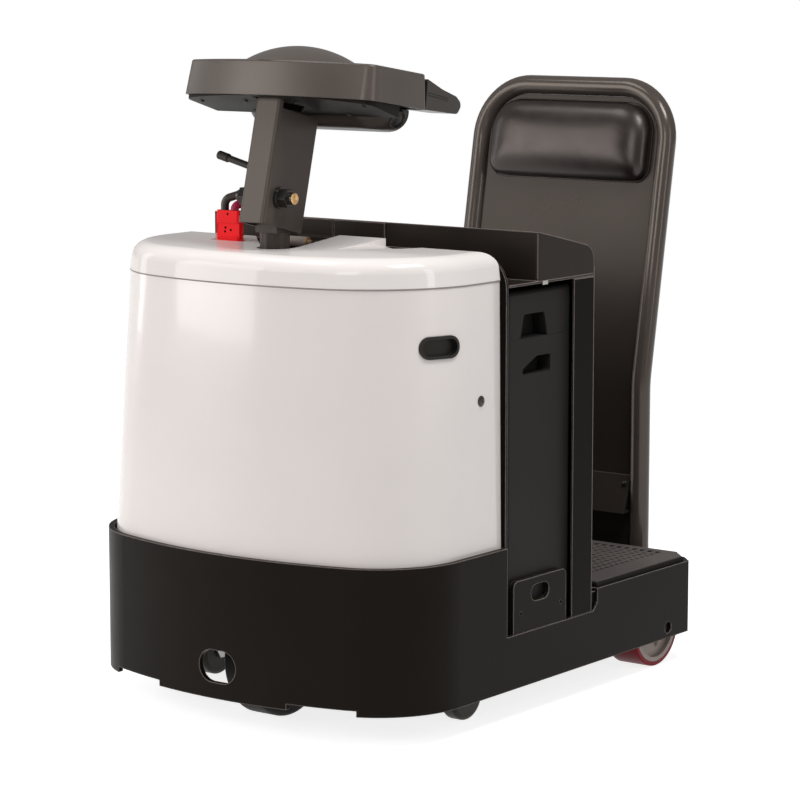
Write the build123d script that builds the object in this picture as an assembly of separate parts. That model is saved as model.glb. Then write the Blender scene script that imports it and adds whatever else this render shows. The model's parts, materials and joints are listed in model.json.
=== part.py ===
from build123d import *
import math
import os

# A stand-on electric tow tractor, in millimetres. The drawing datum is the steering axis on the floor:
# X runs across, Y runs back from the steering axis and Z runs up. When the pieces are written out they
# are moved along Y, so that the part's own origin lies at the middle of its footprint.

# Small gaps: a seat between pieces that stay put, the running fit of a shaft, and room for what moves
seat = 0.3
run_fit = 0.08
move_gap = 6.0

# Frame: a bent plate that is bumper, side plates and tail in one band
half_width = 426.5
nose_reach = 189.5
nose_radius = 988.0
corner_radius = 196.0
frame_back = 925.0
tail_chamfer = 30.0
frame_plate = 12.0
ground_gap = 66.0
bumper_top = 359.0
sill_top = 177.0
sill_back = 518.0
sill_ramp = 16.0
platform_top = 223.0
toe_notch_in = 165.0
toe_notch_out = 310.0
toe_notch_rise = 12.0
nose_hole_width = 94.0
nose_hole_height = 66.0
nose_hole_z = 132.0

# Hood over the drive unit, with its moulded lid
hood_inset = 16.0
hood_back = 205.0
hood_top = 895.0
hood_top_reach = 152.0
hood_top_inset = 22.5
hood_top_nose_radius = 950.0
hood_top_corner = 250.0
hood_wall = 4.0
lid_rise = 57.0
lid_draft = 8.0
lid_edge_radius = 34.0
lid_lap = 1.5
well_gap = 13.0
well_sink = 17.0
well_corner_radius = 6.0
notch_left = -215.0
notch_right = -5.0
notch_lip = 8.0
scoop_x = 182.0
scoop_radius = 174.0
scoop_depth = 14.0
scoop_length = 90.0
ridge_front = 40.0
ridge_right = 122.0
ridge_rise = 10.0
hand_hole_z = 779.0
hand_hole_length = 94.0
hand_hole_height = 44.0
hand_hole_turn = 19.0
grommet_proud = 4.0
grommet_dish = 9.0
grommet_lip = 6.0

# Drive plate, slewing ring and drive unit
drive_plate_top = 340.0
drive_plate_thick = 12.0
ring_radius = 128.0
ring_rise = 10.0
flange_radius = 100.0
motor_radius = 88.0
motor_top = 600.0
gear_case_radius = 74.0
gear_case_width = 46.0
drive_radius = 127.0
drive_width = 76.0
drive_tyre_thick = 24.0
drive_edge_round = 10.0
drive_axle_radius = 22.0

# Casters beside the drive wheel
caster_inset = 98.5
caster_y = 156.0
caster_trail = 28.0
caster_radius = 51.0
caster_width = 38.0
caster_post_radius = 30.0
caster_foot_radius = 36.0
caster_foot_z = 138.0
caster_foot_thick = 14.0
caster_pin_radius = 12.0
caster_pin_length = 46.0
caster_crown_thick = 13.0
caster_cheek = 6.0
caster_side_gap = 2.0
caster_axle_radius = 8.0

# Rear wheels on stub axles
rear_wheel_y = 814.0
rear_radius = 89.0
rear_width = 76.0
rear_wheel_inset = 29.5
rear_tread_thick = 10.0
rear_axle_radius = 15.0
rear_hub_gap = 5.0
hanger_plate = 10.0
hanger_half_length = 56.0
axle_cap_radius = 26.0
axle_cap_thick = 9.0
axle_hole_radius = 13.0

# Battery bay, battery and console
bulkhead_plate = 6.0
bulkhead_inset = 6.0
bulkhead_drop = 6.0
bulkhead_corner = 70.0
tray_floor_z = 150.0
tray_plate = 8.0
battery_gap = 3.0
battery_length = 242.0
battery_side_gap = 3.5
battery_seam_z = 772.0
battery_top = 868.0
battery_edge_round = 18.0
lift_slot_length = 98.0
lift_slot_height = 34.0
lift_slot_z = 716.0
lift_slot_depth = 34.0
lift_slot_corner = 5.0
lift_slot_shift = 10.0
cap_slot_shift = 20.0
cap_slot_length = 96.0
cap_slot_height = 48.0
cap_slot_slope = 12.0
cap_slot_round = 9.0
retainer_front = 230.0
retainer_length = 188.0
retainer_height = 108.0
retainer_plate = 10.0
retainer_round = 14.0
retainer_slot_length = 64.0
retainer_slot_height = 34.0
retainer_slot_rise = 75.0
retainer_hole_radius = 3.5
# small holes of the retainer plate, counted from its lower front corner as (y, z)
retainer_holes = [(26.0, 40.0), (168.0, 40.0)]
deck_z = 880.0
deck_plate = 5.0
console_inset = 2.5
console_wall = 4.0
console_front = 309.0
console_back = 512.0
console_top = 983.0
console_tail_top = 939.0
console_bend = 6.0
console_tail_round = 34.0
console_slit_x = -93.0
console_slit = 3.0
flange_reach = 72.0

# Platform, mat and tow hitch
platform_plate = 10.0
mat_thick = 9.0
mat_inset = 6.5
mat_back_inset = 6.0
mat_front_gap = 28.0
mat_chamfer = 36.0
hitch_plate_half = 95.0
hitch_plate_low = 84.0
hitch_plate_high = 208.0
hitch_plate_thick = 14.0
hitch_jaw_half = 46.0
hitch_jaw_reach = 96.0
hitch_jaw_thick = 16.0
hitch_jaw_low = 112.0
hitch_mouth = 42.0
hitch_bore_radius = 13.0

# Backrest: a tube bent into an upright loop that leans back
back_half = 250.0
back_tube_radius = 21.2
back_tube_wall = 3.0
back_leg_y = 971.0
back_leg_foot = 104.0
back_bend_z = 593.0
back_top_z = 1237.0
back_lean = 10.1
back_bend_radius = 240.0
back_corner_radius = 122.0
back_panel_thick = 4.0
back_panel_low = 214.0
saddle_half = 30.0
saddle_high = 206.0
rail_low = 298.0
rail_high = 382.0
rail_reach = 34.0
rail_thick = 6.0
pad_half = 214.0
pad_height = 182.0
pad_thick = 58.0
pad_centre_z = 1119.0
pad_round = 20.0
pad_top_corner = 92.0
pad_low_corner = 26.0

# Steering column: a tube, a channel post that leans back and the head with its grips
column_radius = 30.15
column_wall = 6.0
column_top = 983.0
neck_front = 27.0
neck_back = 13.0
neck_height = 37.0
lug_height = 66.0
lug_length = 88.0
lug_radius = 50.0
pivot_y = 7.0
pivot_z = 1054.0
bolt_y = -24.0
pivot_radius = 12.0
collar_radius = 22.0
collar_thick = 6.0
nut_radius = 20.0
nut_thick = 22.0
tip_length = 10.0
post_lean = 14.0
post_width = 66.0
post_depth = 123.2
post_front = 70.4
post_wall = 5.0
post_bend = 9.0
post_low = 65.0
post_flange_high = 167.0
head_tilt = 8.0
head_y = -20.0
head_z = 1254.0
head_half = 243.0
head_back_half = 235.0
head_depth = 218.0
head_height = 71.0
head_draft = 7.0
head_corner = 32.0
head_bow = 44.0
head_wall = 4.0
head_round = 16.0
head_edge = 5.0
dome_radius = 122.0
dome_rise = 39.0
dome_y = 108.0
base_plate = 4.0
base_lift = 2.0
belly_drop = 24.0
web_slot = 24.0
pad_plate = 5.0
diamond_half = 48.0
diamond_y = 62.0
grip_in = 164.0
grip_out = 228.0
grip_round = 12.0
# side view of one grip from the head's back: (step back, height over the head's underside)
grip_shape = [(0.0, 62.0), (52.0, 47.0), (100.0, 38.0), (122.0, 24.0), (108.0, 3.0), (0.0, 1.0)]
pod_half = 184.0
pod_front = 126.0
pod_length = 142.0
pod_drop = 46.0
pod_corner = 68.0
pod_round = 40.0
lever_radius = 7.0
lever_tip_radius = 9.0
lever_y = 20.0
lever_z = 1098.0
lever_reach = 118.0
lever_rise = 14.0

# Charge connector, leads and stop tube on the lid
plug_x = -178.5
plug_y = 73.0
plug_width = 59.0
plug_thick = 18.0
plug_height = 78.0
plug_round = 5.0
plug_waist = 3.0
lead_radius = 8.5
lead_spread = 26.0
lead_tail = 40.0
gland_radius = 13.0
gland_length = 9.0
# where the leads pass through the front bulkhead, as (x, z)
gland_places = [(-88.0, 905.0), (-122.0, 905.0)]
# each lead leaves the connector upwards and turns over into the lid's notch: its offset from the connector's
# middle, the radius of its first bend and of the others, and its steps (x, y, z) from the connector's top
lead_routes = {
    "lead_black": (-lead_spread / 2, 17.0, 17.0,
                   [(0, 0, 22), (40, 12, 35), (103.5, 44, 4), (103.5, 44, -80)]),
    "lead_red": (lead_spread / 2, 11.0, 17.0,
                 [(0, 0, 12), (18, 30, 12), (43.5, 46, -30), (43.5, 46, -80)]),
}
stop_radius = 11.0
stop_length = 62.0
stop_x = -104.0
stop_z = 944.0
screw_radius = 5.0
screw_length = 9.0

# Places that follow from the sizes above
lid_top = hood_top + lid_rise
bulkhead_top = lid_top - bulkhead_drop
drive_plate_low = drive_plate_top - drive_plate_thick
bulkhead_front = hood_back + seat
bay_front = bulkhead_front + bulkhead_plate
bay_back = console_back - bulkhead_plate
battery_front = bay_front + battery_gap
battery_floor = tray_floor_z + tray_plate
inner_half = half_width - frame_plate
hood_top_half = half_width - hood_top_inset
caster_x = half_width - caster_inset
rear_face_x = half_width - rear_wheel_inset
battery_half = inner_half - battery_side_gap
console_half = half_width - console_inset
mat_half = half_width - mat_inset
mat_back = frame_back - mat_back_inset
mat_front = bay_back + bulkhead_plate + mat_front_gap
lean = math.radians(back_lean)
back_top_y = back_leg_y + (back_top_z - back_bend_z) * math.tan(lean)
back_reach = back_top_y + back_tube_radius
footprint_middle = (back_reach - nose_reach) / 2
post_frame = Plane(origin=(0, pivot_y, pivot_z), x_dir=(1, 0, 0),
                   z_dir=(0, math.sin(math.radians(post_lean)), math.cos(math.radians(post_lean))))
head_frame = Plane(origin=(0, head_y, head_z), x_dir=(1, 0, 0),
                   z_dir=(0, math.sin(math.radians(head_tilt)), math.cos(math.radians(head_tilt))))
side_view = Plane.YZ
front_view = Plane.XZ
sides = (-1, 1)


def upward(face):
    """The same flat face with its normal up, so that it is always carried upwards."""
    return face if face.face().normal_at().Z > 0 else -face.face()


def plan_outline(front, half, nose, corner, back, chamfer=0.0):
    """A plan face: a wide nose arc, two corner arcs that run into straight sides, and a straight tail."""
    reach = half - corner
    nose_centre = nose - front
    corner_y = nose_centre - math.sqrt((nose - corner) ** 2 - reach ** 2)
    turn = math.atan2(reach, nose_centre - corner_y)
    middle = (turn + math.pi / 2) / 2
    joint = (nose * math.sin(turn), nose_centre - nose * math.cos(turn))
    bend = (reach + corner * math.sin(middle), corner_y - corner * math.cos(middle))
    edges = [ThreePointArc(joint, (0, -front), (-joint[0], joint[1]))]
    for side in sides:
        edges.append(ThreePointArc((side * half, corner_y), (side * bend[0], bend[1]),
                                   (side * joint[0], joint[1])))
        edges.append(Line((side * half, back - chamfer), (side * half, corner_y)))
        if chamfer:
            edges.append(Line((side * half, back - chamfer), (side * (half - chamfer), back)))
    edges.append(Line((chamfer - half, back), (half - chamfer, back)))
    return upward(make_face(edges))


def frame_outline(inset):
    """The frame's plan, moved inwards by inset."""
    chamfer = tail_chamfer - inset * (2 - math.sqrt(2))
    return plan_outline(nose_reach - inset, half_width - inset, nose_radius - inset, corner_radius - inset,
                        frame_back - inset, chamfer)


def block(x0, x1, y0, y1, z0, z1):
    """A box between two corners."""
    return Pos((x0 + x1) / 2, (y0 + y1) / 2, (z0 + z1) / 2) * Box(x1 - x0, y1 - y0, z1 - z0)


def rod_x(x0, x1, y, z, radius):
    """A round bar along X."""
    return Pos((x0 + x1) / 2, y, z) * Rot(0, 90, 0) * Cylinder(radius, x1 - x0)


def rod_z(x, y, z0, z1, radius):
    """A round bar along Z."""
    return Pos(x, y, (z0 + z1) / 2) * Cylinder(radius, z1 - z0)


def side_profile(points, x0, x1):
    """A flat shape in the side view, given as (y, z) points, carried from x0 to x1."""
    face = make_face(Polyline(*points, close=True))
    return Pos(x0, 0, 0) * extrude(side_view * face, x1 - x0)


def both_sides(shape):
    """The shape and its mirror image across the middle plane, as two solids of one node."""
    return shape + mirror(shape, about=Plane.YZ)


# Frame
def chassis_frame():
    band = extrude(Pos(0, 0, ground_gap) * frame_outline(0), bumper_top - ground_gap)
    band -= extrude(Pos(0, 0, ground_gap) * frame_outline(frame_plate), bumper_top - ground_gap)
    over = bumper_top + 1
    past = frame_back + 1
    ramp_y = sill_back + sill_ramp
    band -= side_profile([(bulkhead_front, over), (bulkhead_front, sill_top), (sill_back, sill_top),
                          (ramp_y, sill_top + sill_ramp), (ramp_y, platform_top), (past, platform_top),
                          (past, over)], -half_width - 1, half_width + 1)
    for side in sides:
        notch_top = ground_gap + toe_notch_rise
        notch = block(toe_notch_in, toe_notch_out, -nose_reach, 0, ground_gap - 1, notch_top)
        band -= notch if side > 0 else mirror(notch, about=Plane.YZ)
    hole = Pos(0, 0, nose_hole_z) * (front_view * SlotOverall(nose_hole_width, nose_hole_height))
    band -= extrude(hole, nose_reach + 1)
    band -= rod_x(-half_width - 1, half_width + 1, rear_wheel_y, rear_radius, axle_hole_radius)
    return band


def drive_plate():
    inset = frame_plate + seat
    outline = plan_outline(nose_reach - inset, half_width - inset, nose_radius - inset, corner_radius - inset,
                           hood_back)
    plate = extrude(Pos(0, 0, drive_plate_low) * outline, drive_plate_thick)
    plate += rod_z(0, 0, drive_plate_low - ring_rise, drive_plate_top + ring_rise, ring_radius)
    return plate - rod_z(0, 0, 0, bumper_top, flange_radius + run_fit)


def front_bulkhead():
    low_half = inner_half - seat
    high_half = half_width - bulkhead_inset
    step = sill_top + seat
    wall = Rectangle(2 * high_half, bulkhead_top - step)
    wall = fillet(wall.vertices().sort_by(Axis.Y)[-2:], bulkhead_corner)
    wall = Pos(0, (bulkhead_top + step) / 2) * wall
    foot = Pos(0, (step + tray_floor_z) / 2) * Rectangle(2 * low_half, step - tray_floor_z)
    plate = Pos(0, bay_front, 0) * extrude(front_view * (wall + foot), bulkhead_plate)
    for x, z in gland_places:
        boss = Pos(0, 0, gland_length / 2) * Cylinder(gland_radius, gland_length)
        plate += Pos(x, bulkhead_front, z) * Rot(90, 0, 0) * boss
    return plate


def battery_tray():
    half = inner_half - seat
    tray = block(-half, half, bay_front, bay_back, tray_floor_z, battery_floor)
    lip = sill_top - seat
    tray += block(-half, half, bay_back - tray_plate, bay_back, tray_floor_z, lip)
    return tray


def rear_bulkhead():
    back = bay_back + bulkhead_plate
    low = block(-inner_half + seat, inner_half - seat, bay_back, back, tray_floor_z, platform_top + seat)
    wall = block(-console_half, console_half, back - flange_reach, back, platform_top + seat, deck_z - seat)
    inside = console_half - console_wall
    wall -= block(-inside, inside, back - flange_reach - 1, bay_back, 0, deck_z)
    return low + wall


def console():
    deck = block(-console_half, console_half, bay_front + seat, bay_back + bulkhead_plate, deck_z,
                 deck_z + deck_plate)
    floor = deck_z + deck_plate
    high = console_top - floor
    length = console_back - console_front
    middle = (console_front + console_back) / 2
    shell = Pos(0, middle, floor + high / 2) * Box(2 * console_half, length, high)
    front_edges = shell.edges().filter_by(Axis.Z).sort_by(Axis.Y)[:2]
    shell = fillet(front_edges, console_bend)
    core = Pos(0, middle + console_wall, floor + high / 2)
    core *= Box(2 * (console_half - console_wall), length, high + 2)
    core = fillet(core.edges().filter_by(Axis.Z).sort_by(Axis.Y)[:2], console_bend - console_wall)
    shell -= core
    slope = side_profile([(console_front + console_bend, console_top), (console_back, console_tail_top),
                          (console_back, console_top + 1), (console_front + console_bend, console_top + 1)],
                         -console_half - 1, console_half + 1)
    shell -= slope
    tail = shell.edges().filter_by(Axis.X).group_by(Axis.Y)[-1].sort_by(Axis.Z)[-2:]
    shell = fillet(tail, console_tail_round)
    slit = block(console_slit_x - console_slit / 2, console_slit_x + console_slit / 2, console_front - 1,
                 console_front + console_wall + 1, floor, console_top + 1)
    return deck + (shell - slit)


def platform():
    half = inner_half - seat
    front = bay_back + bulkhead_plate
    back = frame_back - frame_plate - seat
    chamfer = tail_chamfer
    face = make_face(Polyline((-half, front), (half, front), (half, back - chamfer), (half - chamfer, back),
                              (chamfer - half, back), (-half, back - chamfer), close=True))
    low = platform_top - platform_plate
    plate = extrude(Pos(0, 0, low) * face, platform_plate)
    hanger_out = rear_face_x - rear_width - rear_hub_gap
    for side in sides:
        ear = Pos(0, rear_wheel_y, 0) * (side_view * SlotCenterToCenter(2 * (low - rear_radius),
                                                                        2 * hanger_half_length, rotation=90))
        ear = Pos(hanger_out - hanger_plate, 0, low) * extrude(ear, hanger_plate)
        ear -= block(0, half_width, 0, frame_back, low, 3 * low)
        ear -= rod_x(0, half_width, rear_wheel_y, rear_radius, rear_axle_radius + seat / 2)
        plate += ear if side > 0 else mirror(ear, about=Plane.YZ)
    return plate


def platform_mat():
    face = make_face(Polyline((-mat_half, mat_front), (mat_half, mat_front),
                              (mat_half, mat_back - mat_chamfer),
                              (mat_half - mat_chamfer, mat_back), (mat_chamfer - mat_half, mat_back),
                              (-mat_half, mat_back - mat_chamfer), close=True))
    mat = extrude(Pos(0, 0, platform_top) * face, mat_thick)
    return fillet(mat.faces().sort_by(Axis.Z)[-1].edges(), mat_thick / 3)


# Hood
def hood_sizes(share, grow):
    """Nose reach, half width and both radii at a share of the height: 0 at the plate, 1 at the seam."""
    low = (nose_reach - hood_inset, half_width - hood_inset, nose_radius - hood_inset,
           corner_radius - hood_inset)
    high = (hood_top_reach, hood_top_half, hood_top_nose_radius, hood_top_corner)
    return [a + (b - a) * share + grow for a, b in zip(low, high)]


def hood_outline(share, grow, back):
    """The hood's plan at that share, larger all round by grow."""
    return plan_outline(*hood_sizes(share, grow), back)


def hood_body(grow, back):
    """The hood's drafted outside, larger all round by grow and cut straight at back."""
    low = Pos(0, 0, drive_plate_top) * hood_outline(0, grow, back)
    high = Pos(0, 0, hood_top) * hood_outline(1, grow, back)
    return loft([low, high], ruled=True)


def hand_hole(side, trim):
    """The oval prism through one flank of the hood, square to its corner arc and shrunk all round by trim."""
    share = (hand_hole_z - drive_plate_top) / (hood_top - drive_plate_top)
    front, half, nose, corner = hood_sizes(share, 0)
    reach = half - corner
    corner_y = nose - front - math.sqrt((nose - corner) ** 2 - reach ** 2)
    oval = SlotOverall(hand_hole_length - 2 * trim, hand_hole_height - 2 * trim)
    prism = Pos(corner - hand_hole_length / 2, 0, 0) * extrude(Plane.YZ * oval, hand_hole_length)
    prism = Pos(reach, corner_y, hand_hole_z) * Rot(0, 0, -hand_hole_turn) * prism
    return prism if side > 0 else mirror(prism, about=Plane.YZ)


def hood_cover():
    shell = hood_body(0, hood_back) - hood_body(-hood_wall, hood_back + hood_wall)
    for side in sides:
        shell -= hand_hole(side, 0)
    return shell


def hood_grommets():
    plug = hood_body(grommet_proud, hood_back) & hand_hole(1, seat / 2)
    plug -= hood_body(-hood_wall - grommet_dish, hood_back)
    dish = hand_hole(1, grommet_lip) - hood_body(-grommet_dish, hood_back)
    return both_sides(plug - dish)


def lid_body(grow, top, back):
    """The lid's outside as one block, larger all round by grow."""
    draw_in = (top - hood_top) * math.tan(math.radians(lid_draft))
    low = Pos(0, 0, hood_top) * hood_outline(1, lid_lap + grow, back)
    high = Pos(0, 0, top) * hood_outline(1, lid_lap + grow - draw_in, back)
    body = loft([low, high], ruled=True)
    rim = body.faces().sort_by(Axis.Z)[-1].edges()
    return fillet(rim, lid_edge_radius + grow)


def lid_well(grow):
    """The well in which the charge connector stands."""
    low = lid_top - well_sink - grow
    reach = plug_width / 2 + well_gap + grow
    deep = plug_thick / 2 + well_gap / 2 + grow
    well = block(plug_x - reach, plug_x + reach, plug_y - deep, plug_y + deep, low, lid_top + 1)
    return fillet(well.edges().filter_by(Axis.Z), well_corner_radius + grow)


def lid_notch():
    """The wedge that is open to the back, so that the lid lifts off round the steering tube."""
    hole = column_radius + move_gap
    back = hood_back + lid_lap
    wedge = make_face(Polyline((-hole, 0), (hole, 0), (notch_right + notch_lip, back),
                               (notch_left - notch_lip, back), close=True))
    return extrude(upward(wedge), 2 * lid_top) + rod_z(0, 0, 0, 2 * lid_top, hole)


def lid_scoop():
    """A shallow finger scoop in the lid's back edge: a round bar that dips towards the back."""
    dip = math.degrees(math.atan2(scoop_depth, scoop_length))
    bar = Rot(90, 0, 0) * Cylinder(scoop_radius, 4 * scoop_length)
    return Pos(scoop_x, hood_back, lid_top - scoop_depth) * Rot(-dip, 0, 0) * Pos(0, 0, scoop_radius) * bar


def lid_ridge():
    """A low wedge that rises to the lid's back edge, between the notch and the finger scoop."""
    low = lid_top - lid_edge_radius
    return side_profile([(ridge_front, low), (hood_back, low), (hood_back, lid_top + ridge_rise),
                         (ridge_front, lid_top)], -column_radius, ridge_right)


def hood_lid():
    inner = lid_body(-hood_wall, lid_top - hood_wall, hood_back - hood_wall) - lid_well(hood_wall)
    inner -= Pos(0, 0, -hood_wall) * lid_scoop()
    outer = lid_body(0, lid_top, hood_back) - lid_scoop() + lid_ridge()
    return outer - lid_well(0) - inner - lid_notch()


def stop_tube():
    y = bulkhead_front - seat - stop_radius
    end = stop_x + stop_length / 2
    tube = rod_x(stop_x - stop_length / 2, end, y, stop_z, stop_radius)
    return tube + rod_x(end, end + screw_length, y, stop_z, screw_radius)


# Battery
def battery_case():
    low = block(-battery_half, battery_half, battery_front, battery_front + battery_length, battery_floor,
                battery_seam_z)
    case = fillet(low.edges().filter_by(Axis.Z), battery_edge_round)
    middle = battery_front + battery_length / 2 - lift_slot_shift
    for side in sides:
        half = lift_slot_length / 2
        low = lift_slot_z - lift_slot_height / 2
        high = low + lift_slot_height
        slot = make_face(Polyline((middle - half, low), (middle + half, low), (middle + half, high),
                                  (middle, high), (middle - half, low + lift_slot_height / 3), close=True))
        slot = side_view * fillet(slot.vertices(), lift_slot_corner)
        slot = Pos(battery_half - lift_slot_depth, 0, 0) * extrude(slot, lift_slot_depth + 1)
        case -= slot if side > 0 else mirror(slot, about=Plane.YZ)
    return case


def battery_cap():
    low = battery_seam_z + seat
    cap = block(-battery_half, battery_half, battery_front, battery_front + battery_length, low, battery_top)
    cap = fillet(cap.edges().filter_by(Axis.Z), battery_edge_round)
    middle = battery_front + battery_length / 2 - cap_slot_shift
    wide = cap_slot_length / 2
    narrow = wide - cap_slot_slope
    high = low + cap_slot_height
    face = make_face(Polyline((middle - wide, low - 1), (middle + wide, low - 1), (middle + narrow, high),
                              (middle - narrow, high), close=True))
    face = fillet(face.vertices().sort_by(Axis.Y)[-2:], cap_slot_round)
    slot = Pos(battery_half - lift_slot_depth, 0, 0) * extrude(side_view * face, lift_slot_depth + 1)
    for side in sides:
        cap -= slot if side > 0 else mirror(slot, about=Plane.YZ)
    return fillet(cap.faces().sort_by(Axis.Z)[-1].edges(), battery_edge_round / 2)


def battery_retainers():
    low = sill_top + seat
    middle = retainer_front + retainer_length / 2
    plate = block(inner_half, inner_half + retainer_plate, retainer_front, retainer_front + retainer_length,
                  low, low + retainer_height)
    plate = fillet(plate.edges().filter_by(Axis.X).sort_by(Axis.Z)[-2:], retainer_round)
    slot = side_view * SlotOverall(retainer_slot_length, retainer_slot_height)
    plate -= Pos(inner_half - 1, middle, low + retainer_slot_rise) * extrude(slot, retainer_plate + 2)
    for y, z in retainer_holes:
        plate -= rod_x(inner_half - 1, half_width, retainer_front + y, low + z, retainer_hole_radius)
    return both_sides(plate)


# Charge connector and leads
def charge_connector():
    low = lid_top - well_sink
    body = block(plug_x - plug_width / 2, plug_x + plug_width / 2, plug_y - plug_thick / 2,
                 plug_y + plug_thick / 2, low, low + plug_height)
    body = fillet(body.edges().filter_by(Axis.Z), plug_round)
    for side in sides:
        face = plug_y + side * plug_thick / 2
        body -= block(plug_x - plug_width, plug_x + plug_width, face - plug_waist, face + plug_waist,
                      low + plug_height / 3, low + 2 * plug_height / 3)
    return body


def lead(name):
    offset, first_bend, bend, steps = lead_routes[name]
    start = (plug_x + offset, plug_y, lid_top - well_sink + plug_height + seat)
    gland_x, gland_z = gland_places[list(lead_routes).index(name)]
    gland = (gland_x, bulkhead_front - gland_length - seat, gland_z)
    points = [start] + [(start[0] + x, start[1] + y, start[2] + z) for x, y, z in steps]
    points += [(gland_x, gland[1] - lead_tail, gland_z), gland]
    path = FilletPolyline(*points, radius=[first_bend] + [bend] * (len(points) - 3))
    return sweep(Plane(origin=start, z_dir=(0, 0, 1)) * Circle(lead_radius), path=path)


# Backrest
def backrest_frame():
    points = []
    for side in sides:
        leg = [(side * back_half, back_leg_y, back_leg_foot), (side * back_half, back_leg_y, back_bend_z),
               (side * back_half, back_top_y, back_top_z)]
        points += leg if side < 0 else leg[::-1]
    radii = [back_bend_radius, back_corner_radius, back_corner_radius, back_bend_radius]
    path = FilletPolyline(*points, radius=radii)
    ring = Circle(back_tube_radius) - Circle(back_tube_radius - back_tube_wall)
    return sweep(Plane(origin=points[0], z_dir=(0, 0, 1)) * ring, path=path)


def lean_plane(z):
    """A frame on the backrest's leaning middle plane at height z: its Z axis points up the slope."""
    y = back_leg_y + (z - back_bend_z) * math.tan(lean)
    return Plane(origin=(0, y, z), x_dir=(1, 0, 0), z_dir=(0, math.sin(lean), math.cos(lean)))


def backrest_panel():
    half = back_half - back_tube_radius - seat
    t = back_panel_thick / 2
    path = FilletPolyline((back_leg_y, back_panel_low), (back_leg_y, back_bend_z), (back_top_y, back_top_z),
                          radius=back_bend_radius)
    ribbon = make_face(offset(path, t, side=Side.BOTH))
    sheet = Pos(-half, 0, 0) * extrude(side_view * ribbon, 2 * half)
    high = back_top_z - back_tube_radius * math.cos(lean) - seat
    tall = high - back_panel_low
    window = RectangleRounded(2 * half, 2 * tall, back_corner_radius - back_tube_radius)
    window = extrude(front_view * (Pos(0, back_panel_low) * window), 2 * back_reach, both=True)
    return sheet & window


def backrest_pad():
    gap = back_panel_thick / 2 + seat
    frame = lean_plane(pad_centre_z)
    face = Rectangle(2 * pad_half, pad_height)
    face = fillet(face.vertices().sort_by(Axis.Y)[:2], pad_low_corner)
    face = fillet(face.vertices().sort_by(Axis.Y)[-2:], pad_top_corner)
    pad = extrude(front_view * face, pad_thick)
    pad = fillet(pad.faces().sort_by(Axis.Y)[0].edges(), pad_round)
    return frame * (Pos(0, -gap, 0) * pad)


def backrest_brackets():
    front = back_leg_y - back_tube_radius
    saddle = block(back_half - saddle_half, back_half + saddle_half, frame_back, back_leg_y, back_leg_foot,
                   saddle_high)
    saddle -= rod_z(back_half, back_leg_y, 0, back_top_z, back_tube_radius + seat)
    saddle -= block(0, half_width, front + back_tube_radius / 2, back_leg_y + 1, 0, back_top_z)
    inside = back_half - back_tube_radius - seat
    rail_y = back_leg_y - back_panel_thick / 2 - seat
    rail_floor = rail_low + rail_thick
    rail = side_profile([(rail_y, rail_high), (rail_y - rail_reach, rail_low), (rail_y, rail_low),
                         (rail_y, rail_floor), (rail_y - rail_reach + 2 * rail_thick, rail_floor),
                         (rail_y, rail_high - 2 * rail_thick)], -inside, inside)
    return both_sides(saddle) + rail


# Tow hitch
def tow_hitch():
    back = frame_back + hitch_plate_thick
    plate = block(-hitch_plate_half, hitch_plate_half, frame_back, back, hitch_plate_low, hitch_plate_high)
    plate = fillet(plate.edges().filter_by(Axis.Y), hitch_plate_thick)
    jaw_y = back + hitch_jaw_reach - hitch_jaw_half
    jaw_face = make_face([Line((-hitch_jaw_half, back), (hitch_jaw_half, back)),
                          Line((hitch_jaw_half, back), (hitch_jaw_half, jaw_y)),
                          ThreePointArc((hitch_jaw_half, jaw_y), (0, jaw_y + hitch_jaw_half),
                                        (-hitch_jaw_half, jaw_y)),
                          Line((-hitch_jaw_half, jaw_y), (-hitch_jaw_half, back))])
    for low in (hitch_jaw_low, hitch_jaw_low + hitch_jaw_thick + hitch_mouth):
        plate += extrude(Pos(0, 0, low) * jaw_face, hitch_jaw_thick)
    return plate - rod_z(0, jaw_y, 0, platform_top, hitch_bore_radius)


# Steering column and head
def steering_tube():
    tube = rod_z(0, 0, motor_top, column_top, column_radius)
    tube -= rod_z(0, 0, motor_top - 1, column_top - column_wall, column_radius - column_wall)
    half = post_width / 2 - post_wall - seat
    neck_top = column_top + neck_height
    neck = block(-half, half, -neck_front, neck_back, column_top, neck_top)
    lug = block(-half, half, -lug_length / 2, lug_length / 2, neck_top, neck_top + lug_height)
    lug = fillet(lug.edges().filter_by(Axis.X).sort_by(Axis.Z)[-2:], lug_length / 3)
    lug &= rod_z(0, 0, neck_top, neck_top + lug_height, lug_radius)
    return tube + neck + lug - rod_x(-post_width, post_width, bolt_y, pivot_z, pivot_radius + run_fit)


def steering_post():
    back = post_depth - post_front
    outer = Rectangle(post_width, post_depth)
    outer = fillet(outer.vertices().sort_by(Axis.Y)[:2], post_bend)
    inner = Pos(0, post_wall) * Rectangle(post_width - 2 * post_wall, post_depth)
    inner = fillet(inner.vertices().sort_by(Axis.Y)[:2], post_bend - post_wall)
    section = Pos(0, back - post_depth / 2) * (outer - inner)
    channel = extrude(Pos(0, 0, -post_low) * section, post_low + head_z)
    flanges = block(-post_width, post_width, post_bend - post_front, post_depth, post_flange_high, 2 * head_z)
    post = post_frame * (channel - flanges)
    above = head_frame * block(-head_half, head_half, -2 * head_depth, 2 * head_depth, base_lift + base_plate,
                               2 * head_z)
    post -= above
    plate = head_frame * block(-diamond_half - pad_plate, diamond_half + pad_plate, head_wall + seat,
                               diamond_y + diamond_half + pad_plate, base_lift + base_plate,
                               base_lift + base_plate + pad_plate)
    post += plate
    return post - rod_x(-post_width, post_width, bolt_y, pivot_z, pivot_radius + run_fit)


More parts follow.
